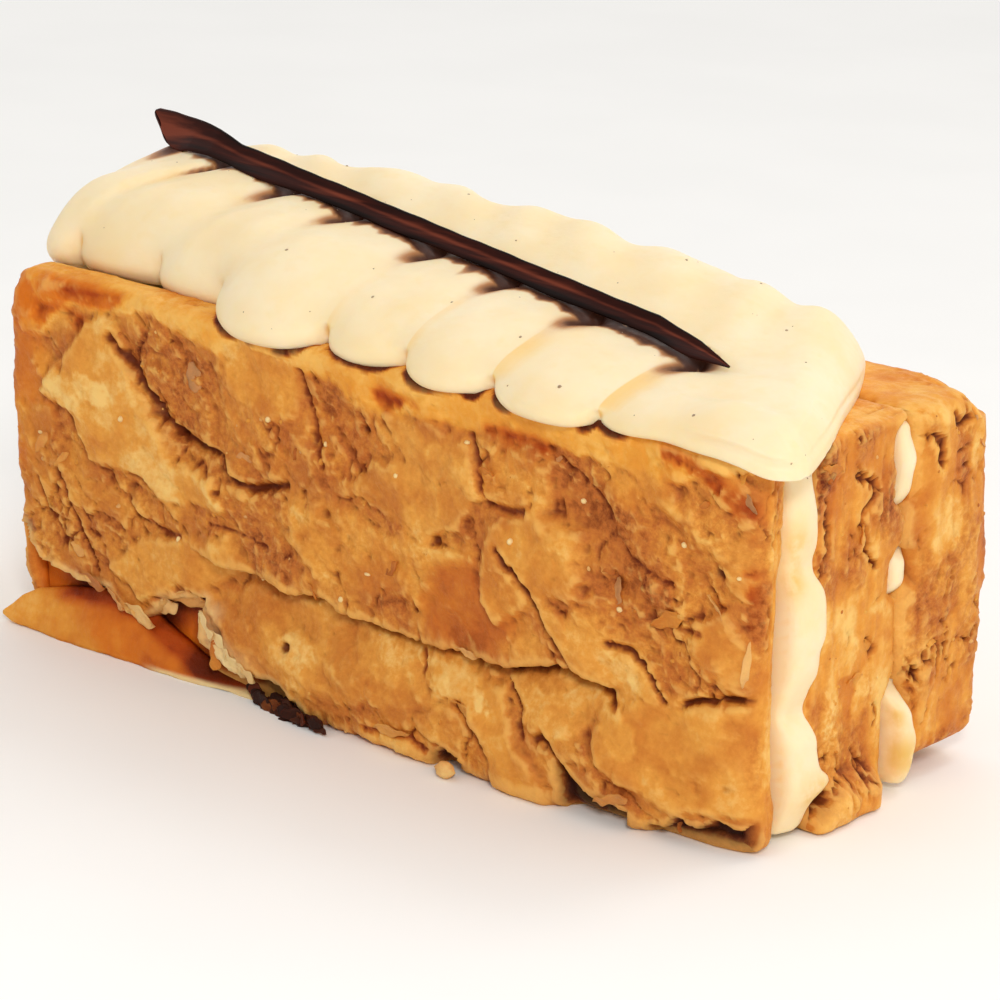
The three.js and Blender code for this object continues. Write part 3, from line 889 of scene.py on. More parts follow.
# Cracks and dark pits on the right ends: depth, width and course as places along Y and Z
END_CRACKS = {
    "middle_slab": [
        (1.0, 0.6, [(-2.7, 38.3), (-1.1, 37.5), (0.9, 36.5), (1.6, 35.9)]),
        (1.2, 0.6, [(0.9, 35.2), (-0.2, 34.5), (-1.4, 33.7), (-1.4, 32.7), (-0.6, 31.8),
            (-0.6, 30.2), (0.4, 28.7), (1.7, 27.4)]),
        (0.9, 0.6, [(0.9, 19.1), (1.7, 17.7), (1.3, 17.2)]),
        (0.7, 0.5, [(2.5, 11.2), (2.8, 9.1)]),
        (3.0, 1.6, [(-10.4, 1.8), (-9.2, 3.0), (-7.6, 3.2)]),
        (0.7, 0.7, [(-8.3, 36.8), (-7.6, 33.5), (-7.7, 30.6)]),
    ],
    "rear_slab": [
        (1.1, 0.8, [(5.2, 32.3), (5.8, 30.5), (7.6, 28.9)]),
        (1.2, 0.5, [(6.8, 26.4), (7.9, 25.0), (9.0, 23.9)]),
        (0.9, 0.7, [(6.1, 23.1), (8.0, 21.4), (8.4, 20.3)]),
        (0.9, 0.6, [(5.5, 17.8), (5.8, 16.5)]),
        (1.0, 0.7, [(5.3, 15.4), (7.4, 14.1), (9.4, 13.7), (10.2, 12.1)]),
        (1.0, 0.8, [(14.4, 41.6), (15.6, 40.2), (17.4, 40.8)]),
        (0.9, 0.7, [(9.6, 40.2), (11.8, 39.2), (12.2, 36.4)]),
    ],
}

# Lighter and darker places on the right ends: Y and Z, reach along each, and the change
# of tone
END_TONES = {
    "middle_slab": [
        (-5.0, 19.0, 4.0, 11.0, -0.24),
        (-7.6, 35.0, 2.4, 6.0, 0.22),
        (2.6, 33.0, 2.6, 8.0, 0.12),
        (1.0, 6.0, 5.0, 4.0, 0.05),
    ],
    "rear_slab": [
        (11.5, 27.0, 5.0, 5.0, -0.14),
        (20.0, 26.0, 2.6, 8.0, 0.14),
        (13.0, 43.0, 9.0, 3.0, -0.2),
        (9.5, 17.0, 3.5, 3.5, -0.14),
        (14.0, 8.0, 6.0, 4.0, 0.06),
    ],
}


def leaf_edges(across, along, seed):
    """The side of a slab, where its leaves show as fine upright lines between crumbly
    places and short cracks."""
    bend = across + 0.7 * SWELL.layers(along * 0.08, across * 0.1, seed)
    bend = bend + 0.2 * ROUGH.layers(along * 0.4, across * 0.3, seed)
    lines = ROUGH.ridges(bend * 0.75, along * 0.03, seed)
    bundles = SWELL.layers(bend * 0.2, along * 0.045, seed + 5, octaves=2)
    crumbly = smooth(-0.15, 0.35, SWELL.layers(bend * 0.16, along * 0.07, seed + 8))
    torn, hue = torn_leaves(across, along, seed + 70, 90, 1.5, size=0.8)
    cracks = wandering_cracks(bend, along, seed + 2, size=2.4) * (0.3 + 0.7 * crumbly)
    height = 0.35 * (lines - 0.62) + 0.35 * bundles + torn * (0.15 + 0.35 * crumbly)
    height = height + (0.08 + 0.34 * crumbly) * crumbs(bend, along, seed) - 0.9 * cracks
    tone = 0.36 - 0.16 * bundles + 0.12 * (0.62 - lines) + 0.24 * crumbly + hue + 0.4 * cracks
    glaze = 0.25 * (1 - crumbly)
    return dict(height=height, tone=tone, crumb=crumbly, glaze=glaze, burnt=0.35 * cracks ** 2)


def open_face(u, v, seed):
    """A broad face that the photo does not show."""
    height, tone, _ = leafy(u, v, seed, size=13.0, slant=-0.6)
    rough = smooth(0.0, 0.4, SWELL.layers(u * 0.06, v * 0.09, seed + 2, octaves=2))
    torn, hue = torn_leaves(u, v, seed + 90, 260, -0.6)
    broad, broad_hue = torn_leaves(u, v, seed + 91, 26, -0.5, size=2.4)
    cracks = wandering_cracks(u, v, seed + 1, size=5.0) * rough
    height = 0.35 * height + 1.3 * broad + folds(u, v) + (0.1 + 0.42 * rough) * crumbs(u, v, seed)
    height = height + torn * (0.3 + 0.6 * rough) - 0.7 * cracks
    tone = mix(0.42, tone, 0.4) + hue + 1.5 * broad_hue + 0.2 * rough + 0.35 * cracks
    glaze = np.full_like(u, 0.12)
    return dict(height=height, tone=tone, crumb=0.2 + 0.7 * rough, glaze=glaze, burnt=0.3 * cracks ** 2)


def top_face(u, v, seed):
    """The upper edge: smoother, and orange with syrup."""
    face = leaf_edges(v, u, seed)
    return dict(
        height=0.45 * face["height"] - 0.2,
        tone=0.6 * face["tone"] - 0.04,
        crumb=face["crumb"],
        glaze=0.55 + 0.25 * SWELL.layers(u * 0.1, v * 0.1, seed),
    )


def right_end(name, y, z, seed):
    """An end of a slab, with what the photo shows of it: lighter and darker places, and
    cracks."""
    face = leaf_edges(y, z, seed)
    wobble = 0.5 * ROUGH.layers(y * 0.9, z * 0.9, 6.0, octaves=2)
    for middle_y, middle_z, reach_y, reach_z, change in END_TONES.get(name, ()):
        away = np.hypot((y - middle_y) / reach_y, (z - middle_z) / reach_z)
        face["tone"] = face["tone"] + change * bump(0, 1, away)
    for depth, width, course in END_CRACKS.get(name, ()):
        groove = bump(0, width * (0.6 + 0.4 * wobble), line_distance(y + wobble, z + wobble, course))
        sink(face, groove, depth, char=0.9 if depth > 2 else 0.5, dark=0.95)
    return face


def underside(x):
    """The side that it lies on, which is flat and plain."""
    plain = np.ones_like(x)
    return dict(height=0 * plain, tone=0.6 * plain, crumb=0.5 * plain, glaze=0 * plain)


# What the relief of a face may say of each point: how far it stands out, its tone from
# straw to brown, how crumbly and syrupy it is, its char and painted shade, how pale it
# is, and how far it hangs down
RELIEF = ("height", "tone", "crumb", "glaze", "burnt", "pale", "drop")
TOP_SEED = 8


def slab(name, node, left, right, step, rounding, seed, hidden, warp, front=open_face):
    """One slab of pastry. Each face's relief fades into the next one's round the edge."""
    near, far = layer(name)
    points, out, faces = block((left, near, 0), (right, far, HEIGHT), step, rounding, hidden)
    x, y, z = points.T
    sides = [
        (-out[:, 1], front(x, z, seed + 1)),
        (out[:, 1], open_face(-x, z, seed + 2)),
        (out[:, 0], right_end(name, y, z, seed + 3)),
        (-out[:, 0], leaf_edges(-y, z, seed + 4)),
        (out[:, 2], top_face(x, y, TOP_SEED)),
        (-out[:, 2], underside(x)),
    ]
    masks = {key: np.zeros(len(points)) for key in RELIEF}
    shares = np.zeros(len(points))
    for towards, face in sides:
        share = smooth(0.25, 0.95, towards)
        shares += share
        for key, values in face.items():
            masks[key] += share * values
    for key in RELIEF:
        masks[key] /= np.maximum(shares, 0.3)
    points = points + out * masks.pop("height")[:, None]
    points[:, 2] -= masks.pop("drop")
    points = warp(points)
    points[:, 2] = np.maximum(points[:, 2], 0)
    # How deep each point lies in a hollow, for painted shade; where it stands proud, for painted
    # highlight
    masks["hollow"] = hollowness(points, faces, out, PASTRY_ROUNDS)
    # Painted contact shadow under the wave's front edge, as darker tone and char
    line = contact_shadow(points)
    masks["tone"] = mix(masks["tone"], 1.0, line)
    masks["burnt"] = np.maximum(masks["burnt"], 0.6 * line)
    piece(name, points, faces, PASTRY, node, masks)
    return points, out, masks["crumb"]


def contact_shadow(points):
    """Painted contact shadow where the front edge of the piped wave rests on the pastry, as a
    thin dark line.
    """
    x, y, z = points.T
    away = np.full(x.shape, FAR)
    for shift in np.linspace(-1.8, 1.8, 13):
        there = [np.interp(x + shift, WAVE_EDGE[:, 0], column) for column in WAVE_EDGE.T[1:]]
        away = np.minimum(away, np.sqrt(shift ** 2 + (y - there[0]) ** 2 + (z - there[1]) ** 2))
    return smooth(0.95, 0.5, away + 0.25 * ROUGH.layers(x * 0.4, y * 0.4, 3.0, octaves=2))


FRONT_SLAB_LEFT = -55.2
# How the front slab's left end runs: heights along Z, and places along X
FRONT_LEFT = [
    (0, -52.2), (3.4, -52.6), (9, -54.4), (13, -55.0), (15.7, -54.0), (21.8, -55.2), (27.9, -55.8),
    (36.7, -55.5), (40.5, -54.9), (43.8, -53.4),
]


def warp_front(points):
    """Gives the front slab its ragged left end and lifts it towards the left."""
    x, y, z = points.T.copy()
    heights, places = np.transpose(FRONT_LEFT)
    wanted = np.interp(z, heights, places) + 0.25 * SWELL.layers(z * 0.2, y * 0.2, 1.0)
    points[:, 0] = x + smooth(-48, -55, x) * (wanted - FRONT_SLAB_LEFT)
    points[:, 1] += 1.4 * smooth(50, 55.5, x) * smooth(-17, -21.5, y)
    points[:, 2] += smooth(30, 42, z) * (0.4 + left_rise(x))
    points[:, 0] += 0.8 * smooth(50, 55, x) * smooth(14, 2, z)
    return points


# How open the seam between the middle and the rear slab is at the right end, for heights
# along Z. Where it is shut, torn leaves bridge the cream.
SEAM = [
    (0, 1.0), (11, 1.0), (14, 0.0), (21.8, 0.0), (23.2, 0.9), (27, 0.9), (28.4, 0.0), (31, 0.0),
    (34, 0.9), (41, 1.0), (43.4, 0.2), (46, 0.0),
]


def over_seam(x, y, z, right, start, end):
    """How far torn leaves reach over the seam, more and more from `start` to `end` along Y."""
    right = np.maximum(right, smooth(30, 42, x) * smooth(41, 43.4, z))
    shut = 1 - np.interp(z + 0.8 * SWELL.at(z * 0.5, y * 0.4), *np.transpose(SEAM))
    reach = mix(2.2, 3.0, smooth(41, 43, z)) * shut
    return right * reach * smooth(start, end, y)


def warp_middle(points):
    """Draws the middle slab's foot out at the right end, and its leaves over the seam."""
    x, y, z = points.T.copy()
    right = smooth(49, 55, x)
    far = layer("middle_slab")[1]
    foot = smooth(5.5, 2.5, z) * smooth(-11, -8, y) * smooth(4, 0, y)
    points[:, 0] += right * (3.2 * foot - 0.8 * smooth(2, 8, y))
    points[:, 2] -= 0.4 * smooth(51, 55, x) ** 2 * smooth(38, 44, z)
    points[:, 1] += over_seam(x, y, z, right, far - 3.5, far)
    points[:, 1] -= right * 1.6 * foot * smooth(-4, -9, y)
    return points


def warp_rear(points):
    """Rounds the rear slab off at the right end, and draws its leaves over the seam."""
    x, y, z = points.T.copy()
    right = smooth(46, 56, x)
    near = layer("rear_slab")[0]
    points[:, 2] += right * 2.6 * smooth(8, 0, z)
    step = smooth(40, 42.5, z) * smooth(17.2, 18.4, y)
    points[:, 2] -= right * 1.8 * step
    points[:, 1] -= right * 0.5 * smooth(36, 42, z) * smooth(18, 21, y)
    points[:, 1] += right * (0.9 + 1.2 * bump(24, 5, z)) * smooth(14, 21, y) * smooth(44, 38, z)
    points[:, 1] -= over_seam(x, y, z, right, near + 3.5, near)
    return points


# Cream

CREAM_STEP, CREAM_ROUNDING, CREAM_FOOT = 0.4, 1.1, 0.6
# Ochre spots on the cream at the right end, partly painted shade where the piped beads
# meet: place along Y and Z, and reach
OCHRE_SPOTS = [
    (-14.6, 33.2, 1.7), (-15.0, 29.6, 1.4), (-10.6, 20.0, 0.9), (-12.8, 5.6, 1.5), (6.0, 4.6, 2.0),
    (5.4, 9.0, 1.1),
]


def spot_tinted(x, y, z):
    """How much the cream is spotted with ochre, at the right end only; partly painted shade."""
    spots = (bump(0, reach, np.hypot(y - at_y, (z - at_z) / 1.3)) for at_y, at_z, reach in OCHRE_SPOTS)
    return sum(0.9 * smooth(53, 56, x) * spot for spot in spots)


def cream_layer(name, node, top_gap, tip, seed, right_bulge, left_bulge):
    """Cream between two slabs, swelling out of both ends in soft lobes. `tip` is how far
    it laps over the slab behind it, low down."""
    near, far = layer(name)
    low = (1 - END, near + GAP, CREAM_FOOT)
    high = (END - 1, far - GAP, HEIGHT - top_gap)
    points, out, faces = block(low, high, CREAM_STEP, CREAM_ROUNDING, ("-y", "+y", "-z"))
    x, y, z = points.T
    across = np.clip((y - near) / (far - near), 0, 1)
    dome = np.sqrt(np.clip(1 - (2 * across - 1) ** 2, 0, 1))
    for side, profile in ((1, right_bulge), (-1, left_bulge)):
        swollen = evened(lambda height: np.interp(height, *np.transpose(profile)), z, 0.9, 5)
        points[:, 0] += side * smooth(0.2, 0.9, side * out[:, 0]) * swollen * (0.08 + 0.92 * dome)
    soft = 0.35 * SWELL.layers(x * 0.16, y * 0.2, z * 0.16 + seed, octaves=3)
    points = points + out * soft[:, None] * (0.4 + 0.6 * np.abs(out[:, :1]))
    points[:, 1] = np.clip(points[:, 1], near + 0.05, far - 0.05)
    spread = smooth(END - 0.4, END + 2.6, np.abs(points[:, 0]))
    lean = 0.1 + 1.4 * smooth(4.2, 6.4, z) + tip * bump(6.0, 1.5, z)
    points[:, 1] += lean * spread * smooth(0.3, 1, across) - 0.3 * spread * smooth(0.5, 0, across)
    hollow = hollowness(points, faces, out, CREAM_ROUNDS)
    # Painted shade beside the slabs on both sides, with that of the hollows
    hollow = hollow + 0.22 * smooth(0.22, 0, across) + 0.12 * smooth(0.85, 1, across)
    masks = dict(hollow=hollow, stain=spot_tinted(x, y, z), cocoa=0 * hollow)
    piece(name, points, faces, CREAM, node, masks)


# The lobes of the piped wave, from the left. Each starts in a cusp: its place along X
# and Y. Then come where its crest lies along X and how far forward it reaches.
LOBES = np.array([
    (-57.8, -12.0, -52.0, 17.2),
    (-49.8, -14.8, -44.0, 17.0),
    (-36.3, -15.0, -30.5, 18.2),
    (-23.8, -17.0, -14.8, 24.2),
    (-6.2, -18.6, -0.6, 22.4),
    (5.8, -19.0, 11.8, 23.5),
    (18.5, -19.2, 28.0, 24.6),
    (33.6, -20.8, 43.5, 23.6),
])
WAVE_START, WAVE_END = LOBES[0, 0], 59.4

# The wave along X: its height at the front shoulder, under the blade and at the rear
# crest, and where its back edge lies along Y
WAVE = np.array([
    (-58.0, 11.0, 12.8, 12.6, 13.0),
    (-52.0, 10.8, 12.5, 13.4, 16.0),
    (-40.0, 10.2, 12.0, 12.9, 17.2),
    (-20.0, 8.8, 10.4, 13.4, 17.4),
    (-5.0, 7.5, 8.9, 12.4, 17.2),
    (6.0, 6.7, 7.9, 12.5, 17.0),
    (20.0, 5.7, 6.6, 10.6, 17.2),
    (33.0, 4.6, 5.1, 9.2, 17.4),
    (41.0, 4.2, 4.5, 7.2, 16.8),
    (46.0, 4.1, 5.0, 6.2, 10.5),
    (52.0, 4.0, 4.9, 5.1, -1.5),
    (57.0, 3.8, 4.0, 4.1, -11.5),
    (62.0, 3.6, 3.6, 3.6, -27.0),
])
# Where its two crests run, as places along Y: the one under the blade, which slants with
# it, and the rear one
RIDGE_MIDDLE, RIDGE_SLOPE = -1.9, -0.13
CREST_FROM_MIDDLE = 11.5
# How far in its edges turn down, and how full the turns are: 2 is a quarter circle
FRONT_TURN, BACK_TURN = 14.0, 9.0
FRONT_POWER, BACK_POWER = 2.05, 2.1
# From here on the right, its edge turns down all round
TAIL_FROM, TAIL_TURN, TAIL_POWER = 43.0, 5.5, 2.3
# How far in from its ends it reaches its full height
LEFT_CAP, RIGHT_CAP = 5.2, 6.0
SLAB_RISE = 1.0
# How far the creases between the lobes lean to the right: places along X, and millimetres
CREASE_LEAN = [(-59, 9), (-40, 6), (-25, 5), (-8, 0.5), (10, 1), (60, 3)]


def ridge_at(x):
    """Where the blade lies on the wave, as places along Y."""
    return RIDGE_MIDDLE + RIDGE_SLOPE * x


def left_rise(x):
    """How far the front slab and the wave on it stand higher towards the left."""
    return SLAB_RISE * smooth(0, -40, x)


def fullness(x, start, end, power):
    """From 1 at the start to 0 at the end, along a rounded shoulder."""
    return (1 - np.clip((x - start) / (end - start), 0, 1) ** power) ** (1 / power)


def wave_rows(x):
    """The rows of WAVE at places along X, evened out over a few millimetres."""
    return [evened(lambda place: np.interp(place, WAVE[:, 0], row), x, 2.5, 5) for row in WAVE.T[1:]]


def lobe_at(x):
    """Which lobe is at a place along X, and how far from its crest, up to 1 at its ends."""
    starts, _, crests, _ = LOBES.T
    lobe = np.clip(np.searchsorted(starts, x, side="right") - 1, 0, len(LOBES) - 1)
    ends = np.append(starts[1:], WAVE_END + 30)[lobe]
    start, crest = starts[lobe], crests[lobe]
    aside = np.where(x < crest, (crest - x) / (crest - start), (x - crest) / (ends - crest))
    return lobe, np.clip(aside, 0, 1)


def front_edge(x):
    """The scalloped front edge of the wave."""
    _, cusps, crests, reaches = LOBES.T
    lobe, aside = lobe_at(x)
    end_cusps = np.append(cusps[1:], -reaches[-1])[lobe]
    depth = reaches[lobe] + np.where(x < crests[lobe], cusps[lobe], end_cusps)
    return depth * (1 - np.sqrt(1 - aside ** 1.9)) - reaches[lobe]


def evened(profile, x, reach, count=9):
    """A profile along X, averaged over that reach to each side."""
    return np.mean([profile(x + shift) for shift in np.linspace(-reach, reach, count)], axis=0)


def smooth_front(x):
    """The front edge with its scallops evened out."""
    return evened(front_edge, x, 6, 13)


def aside_of_crest(x, forward):
    """How far a place lies from the crest of its lobe, up to 1 in the creases, which lean
    to the right. `forward` runs from 0 at the front edge to 1 under the blade."""
    lean = np.interp(x, *np.transpose(CREASE_LEAN))
    return lobe_at(x - lean * np.clip(forward, 0, 1.2))[1]


def wedge(aside):
    """How deep a crease is, from 0 beside it to 1 in its middle."""
    return (1 - np.sqrt(1 - aside ** 2.2)) ** 1.5


def creases(x, forward):
    """How deep the wave sinks between its lobes: softly on the slope, sharply under the
    blade."""
    aside = aside_of_crest(x, forward)
    valley = mix(0.9, 0.5, smooth(-30, -15, x)) * smooth(0.3, 1.0, aside) * bump(0.38, 0.37, forward)
    under_blade = bump(1.0, 0.2, forward) * smooth(1.15, 1.0, forward) * smooth(-50, -43, x)
    return valley + 3.2 * wedge(aside) * under_blade


def across_wave(front, back):
    """Places across the wave, closer together where its edges turn down, and how far it
    has risen there, from 0 to 1."""
    width = back - front
    front_turn = np.minimum(FRONT_TURN, 0.42 * width)
    back_turn = np.minimum(BACK_TURN, 0.42 * width)
    bend = np.linspace(0, math.pi / 2, 34)[None, :]
    between = np.linspace(0, 1, 64)[None, 1:-1]
    top = np.broadcast_to(1.0, (len(width), between.shape[1]))
    unbend = bend[:, ::-1]
    from_front = front_turn * (1 - np.cos(bend) ** (2 / FRONT_POWER))
    from_back = back_turn * (1 - np.cos(unbend) ** (2 / BACK_POWER))
    flat = front + front_turn + between * (width - front_turn - back_turn)
    places = np.concatenate([front + from_front, flat, back - from_back], 1)
    ones = np.ones((len(width), 1))
    rise = ones * np.sin(bend) ** (2 / FRONT_POWER)
    fall = ones * np.sin(unbend) ** (2 / BACK_POWER)
    return places, np.concatenate([rise, top, fall], 1)


def wave_height(x, y, front, back):
    """How high the wave lies over the pastry, away from its edges."""
    shoulder, under_blade, crest, _ = wave_rows(x)
    ridge = np.clip(ridge_at(x), front + 4, np.maximum(back - 6, front + 4.5))
    crest_y = np.maximum(ridge + 2, np.minimum(CREST_FROM_MIDDLE, back - 5))
    forward = (y - front) / (ridge - front)
    behind = np.clip((y - ridge) / (crest_y - ridge), 0, 1)
    rising = shoulder + (under_blade - shoulder) * np.clip(forward, 0, 1) ** 1.2
    height = rising + (crest - under_blade) * (1 - (1 - behind) ** 1.7)
    ripple = 0.36 * np.sin(x * 0.6 + 0.25 * y + 0.8 * np.sin(x * 0.17)) * smooth(0.1, 0.8, behind)
    return height + ripple - creases(x, forward)


def tail_risen(x, y, front, back):
    """How far the wave's right end has risen, by how far a place lies from its edge."""
    first = np.searchsorted(x[:, 0], TAIL_FROM - 3 * TAIL_TURN)
    there = [*zip(x[first:, 0], front[first:, 0])]
    back_again = [*zip(x[first:, 0], back[first:, 0])][::-1]
    edge = (there + back_again)[::2]
    depth = inside_depth(np.broadcast_to(x, y.shape), y, edge)
    return fullness(TAIL_TURN - depth, 0, TAIL_TURN, TAIL_POWER)


def wave_stations():
    """Places along the wave for its rings, closer together at both ends."""
    spacing, cap = 0.36, 6.0
    turn = np.linspace(0.02, math.pi / 2, 30)
    left = WAVE_START + cap * (1 - np.cos(turn))
    right = WAVE_END - cap * (1 - np.cos(turn))
    count = int((WAVE_END - WAVE_START - 2 * cap) / spacing)
    between = np.linspace(WAVE_START + cap, WAVE_END - cap, count)
    return np.concatenate([left, between[1:-1], right[::-1]])


def shaded_left_flanks(points):
    """Painted shade on the left side of each lobe, low down, which faces away from the light,
    as a yellower tint.
    """
    x, y, z = points.T
    lobe, aside = lobe_at(x)
    low_down = smooth(8.5, 1.5, z - HEIGHT) * smooth(-6, -12, y)
    return 0.65 * smooth(0.3, 1.0, aside) * (x < LOBES[lobe, 2]) * low_down


def cocoa(points):
    """Painted shadow of the blade on the cream in front of and under it, longest in the
    creases."""
    x, y, z = points.T
    ahead = ridge_at(x) - 0.8 - y + 0.8 * ROUGH.layers(x * 0.5, y * 0.2, 9.0, octaves=3)
    front = smooth_front(x)
    creased = wedge(aside_of_crest(x, (y - front) / (ridge_at(x) - front)))
    fringe = 1.2 + 1.8 * smooth(0.0, 0.6, ROUGH.at(x * 0.33, 0.0 * x, 4.0))
    strip = smooth(1.6 * fringe, 0.3 * fringe, ahead)
    spikes = smooth(0.04, 0.5, creased) * smooth(7.5, 1.5, ahead)
    haze = 0.25 * smooth(0.0, 0.6, creased) * smooth(11, 3, ahead)
    under = smooth(-1.6, -1.1, ahead + 1.4 * smooth(0.05, 0.4, creased)) * (z > HEIGHT + 2.5)
    under = under * smooth(-55, -52, x) * smooth(39.5, 36, x)
    return np.maximum(np.maximum(strip, spikes), haze) * under


def scallops(x, y, front, corner, risen):
    """How far the lobes reach out of the wave's evened front edge, or draw back from it."""
    sharp = front_edge(x) + corner - front
    soft = evened(front_edge, x, 2.8) + corner - front
    reach = mix(sharp, soft, smooth(0.25, 0.5, risen)) * (1 - 0.95 * smooth(0.35, 0.9, risen))
    return reach * smooth(FRONT_TURN * 1.3, 0, y - front)


def over_wave(x):
    """The upper side of the wave, front to back: places along Y and heights over the
    pastry, for each place along X."""
    left = fullness(-x, -WAVE_START - LEFT_CAP, -WAVE_START, 2.0)
    right = fullness(x, WAVE_END - RIGHT_CAP, WAVE_END, 2.1)
    corner = 3.9 * (1 - right) + 4.5 * (1 - left)
    front = smooth_front(x) + corner
    uneven = 0.6 * np.sin(0.31 * x + 1) + 0.35 * np.sin(0.83 * x) * smooth(44, 38, x)
    back = np.maximum(wave_rows(x)[3] + uneven - 17 * (1 - left), front + 1.5)
    y, risen = across_wave(front, back)
    tail = smooth(TAIL_FROM, TAIL_FROM + 7, x)
    risen = mix(risen, tail_risen(x, y, front, back), tail)
    y = y + scallops(x, y, front, corner, risen)
    lift = risen * wave_height(x, y, front, back) * left * mix(right, 1, tail)
    inward = np.clip(((front + back) / 2 - y) / 3, -1, 1)
    tuck = 1.1 * (1 - np.clip(lift / 2.2, 0, 1)) ** 2 * (1 - 0.8 * tail)
    tuck = tuck + 0.5 * tail * bump(1.7, 0.35, lift)
    return y + inward * np.minimum(1, lift.max(1)[:, None] / 3) * tuck, lift


def wave_level(x, y, lift):
    """Heights of the wave, which hangs a little over the edges of the pastry."""
    at_start = smooth(WAVE_START, WAVE_START + 2.5, x)
    z = HEIGHT - 0.4 + lift + left_rise(x) * smooth(-4, -12, y) * at_start
    z = z + 0.6 * smooth(34, 44, x) * smooth(END + 3, END - 5, x) * smooth(-15, -18, y)
    in_front = smooth(FRONT + 0.4, FRONT - 1.6, y) * smooth(44, 36, x)
    outside = np.maximum(in_front, smooth(END - 1.5, END + 3, x))
    droop = 0.4 + 0.3 * bump(57, 4, x) * bump(-19, 5, y)
    z = z - droop * outside * smooth(6, 0, lift)
    return z + 0.18 * SWELL.layers(x * 0.12, y * 0.12, 2.0, octaves=2) * smooth(0, 3, lift)


def topping():
    """The piped wave, from rings across it. Gives its points, their outward directions and
    its front edge."""
    x = wave_stations()[:, None]
    y, lift = over_wave(x)
    under = mix(y[:, -1:], y[:, :1], np.linspace(0, 1, 26)[None, 1:-1])
    y = np.concatenate([y, under], 1)
    lift = np.concatenate([lift, 0 * under], 1)
    x = np.broadcast_to(x, y.shape)
    z = wave_level(x, y, lift)
    points, faces = skin(np.stack([x, y, z], -1)[:, ::-1])
    out = outward(points, faces)
    middle = (WAVE_START + WAVE_END) / 2
    from_end = WAVE_END - np.abs(points[:, 0] - middle) - middle
    # Painted shade in the hollows and on the lobes' left flanks
    hollow = hollowness(points, faces, out, WAVE_ROUNDS) + shaded_left_flanks(points)
    hollow = hollow * smooth(0.2, 1.4, from_end)
    masks = dict(hollow=hollow, stain=0 * hollow, cocoa=cocoa(points))
    piece("piped_cream", points, faces, CREAM, "cream_topping", masks)
    return points, out, np.stack([x[:, 0], y[:, 0], z[:, 0]], 1)


# Chocolate

# The blade's middle line, with its width there and how far it leans back, in degrees
# from flat. It is blunt and flared at the left and runs to a point at the right.
BLADE_LINE = np.array([
    (-55.8, 4.2, HEIGHT + 13.6, 5.2, 50),
    (-52.0, 3.8, HEIGHT + 13.7, 5.0, 50),
    (-49.5, 3.5, HEIGHT + 13.8, 4.4, 50),
    (-45.3, 3.0, HEIGHT + 13.6, 3.7, 50),
    (-41.0, 2.5, HEIGHT + 12.9, 2.9, 50),
    (-3.0, -1.7, HEIGHT + 9.4, 2.6, 50),
    (29.0, -5.5, HEIGHT + 6.6, 2.5, 50),
    (36.0, -7.0, HEIGHT + 5.7, 1.9, 45),
    (41.2, -8.2, HEIGHT + 4.9, 0.2, 40),
])
BLADE_SLANT = 2.4
BLADE_THICKNESS = 0.7
# Where its lower edge hangs out in a lip: the lip's middle, half length and depth
BLADE_LIPS = [(-36, 6.0, 0.55), (-12, 4.0, 0.2), (14, 5.0, 0.25), (35.5, 4.5, 0.5)]


def blade_section(place):
    """A closed ring round the blade, and how light the streak is at each of its points."""
    first, last = BLADE_LINE[0, 0], BLADE_LINE[-1, 0]
    share = (place - first) / (last - first)
    y, z, width, lean = (np.interp(place, BLADE_LINE[:, 0], column) for column in BLADE_LINE.T[1:])
    lean = math.radians(lean)
    wave = 0.1 * math.sin(0.5 * place) + 0.08 * math.sin(1.3 * place + 1)
    blunt = math.sqrt(1 - (1 - min(1, 0.5 + (place - first) / 1.4)) ** 2)
    half = width / 2 * (1 + 0.12 * wave) * blunt
    thick = BLADE_THICKNESS / 2 * min(1, width / 1.6)
    lip = sum(deep * bump(spot, reach, place) for spot, reach, deep in BLADE_LIPS)
    middle = np.array([place, y, z + 0.12 * wave])
    wide = np.array([0, math.cos(lean), math.sin(lean)])
    out = np.array([0, -math.sin(lean), math.cos(lean)])
    across = np.linspace(-1, 1, 21)
    rows = []
    for side in (1, -1):
        places = across[::side]
        dish = -0.28 * width / 2.4 * (1 - places ** 2)
        groove = 1 - 0.35 * bump(0.2, 0.5, places) * (side > 0)
        rim = side * thick * np.sqrt(np.clip(1 - places ** 4, 0.02, 1)) * groove
        lower = lip * smooth(-0.2, -1, places)
        row = middle + np.outer(places * half - lower, wide) + np.outer(dish + rim + 0.6 * lower, out)
        slant = -BLADE_SLANT * places * smooth(0.1, 0, share)
        rounding = 1.4 * smooth(0.05, 0, share) * (1 - np.sqrt(1 - 0.99 * places ** 4))
        row[:, 0] += slant * half / 2 + rounding
        rows.append(row)
    # Lighter along the middle and darker at the upper rim, with painted shade along the lower part and
    # a painted highlight at the blunt left end
    streak = 0.42 + 0.4 * bump(0.1, 0.18, across) - 0.45 * smooth(0.7, 0.92, across)
    streak = streak - 0.4 * smooth(-0.4, -0.75, across) + 0.55 * smooth(0.1, 0.0, share)
    streak = streak + 0.3 * lip * bump(-0.85, 0.15, across)
    return np.concatenate(rows)[::-1], np.concatenate([streak, 0.4 + 0.15 * across])[::-1]


def blade():
    """A thin shaving with a raised upper rim and a hollow face."""
    places = np.linspace(BLADE_LINE[0, 0], BLADE_LINE[-1, 0] - 0.05, 280)
    rings, streaks = zip(*map(blade_section, places))
    points, faces = skin(rings)
    masks = dict(streak=np.append(np.concatenate(streaks), [0.3, 0.3]))
    piece("chocolate_leaf", points, faces, CHOCOLATE, "chocolate_blade", masks)


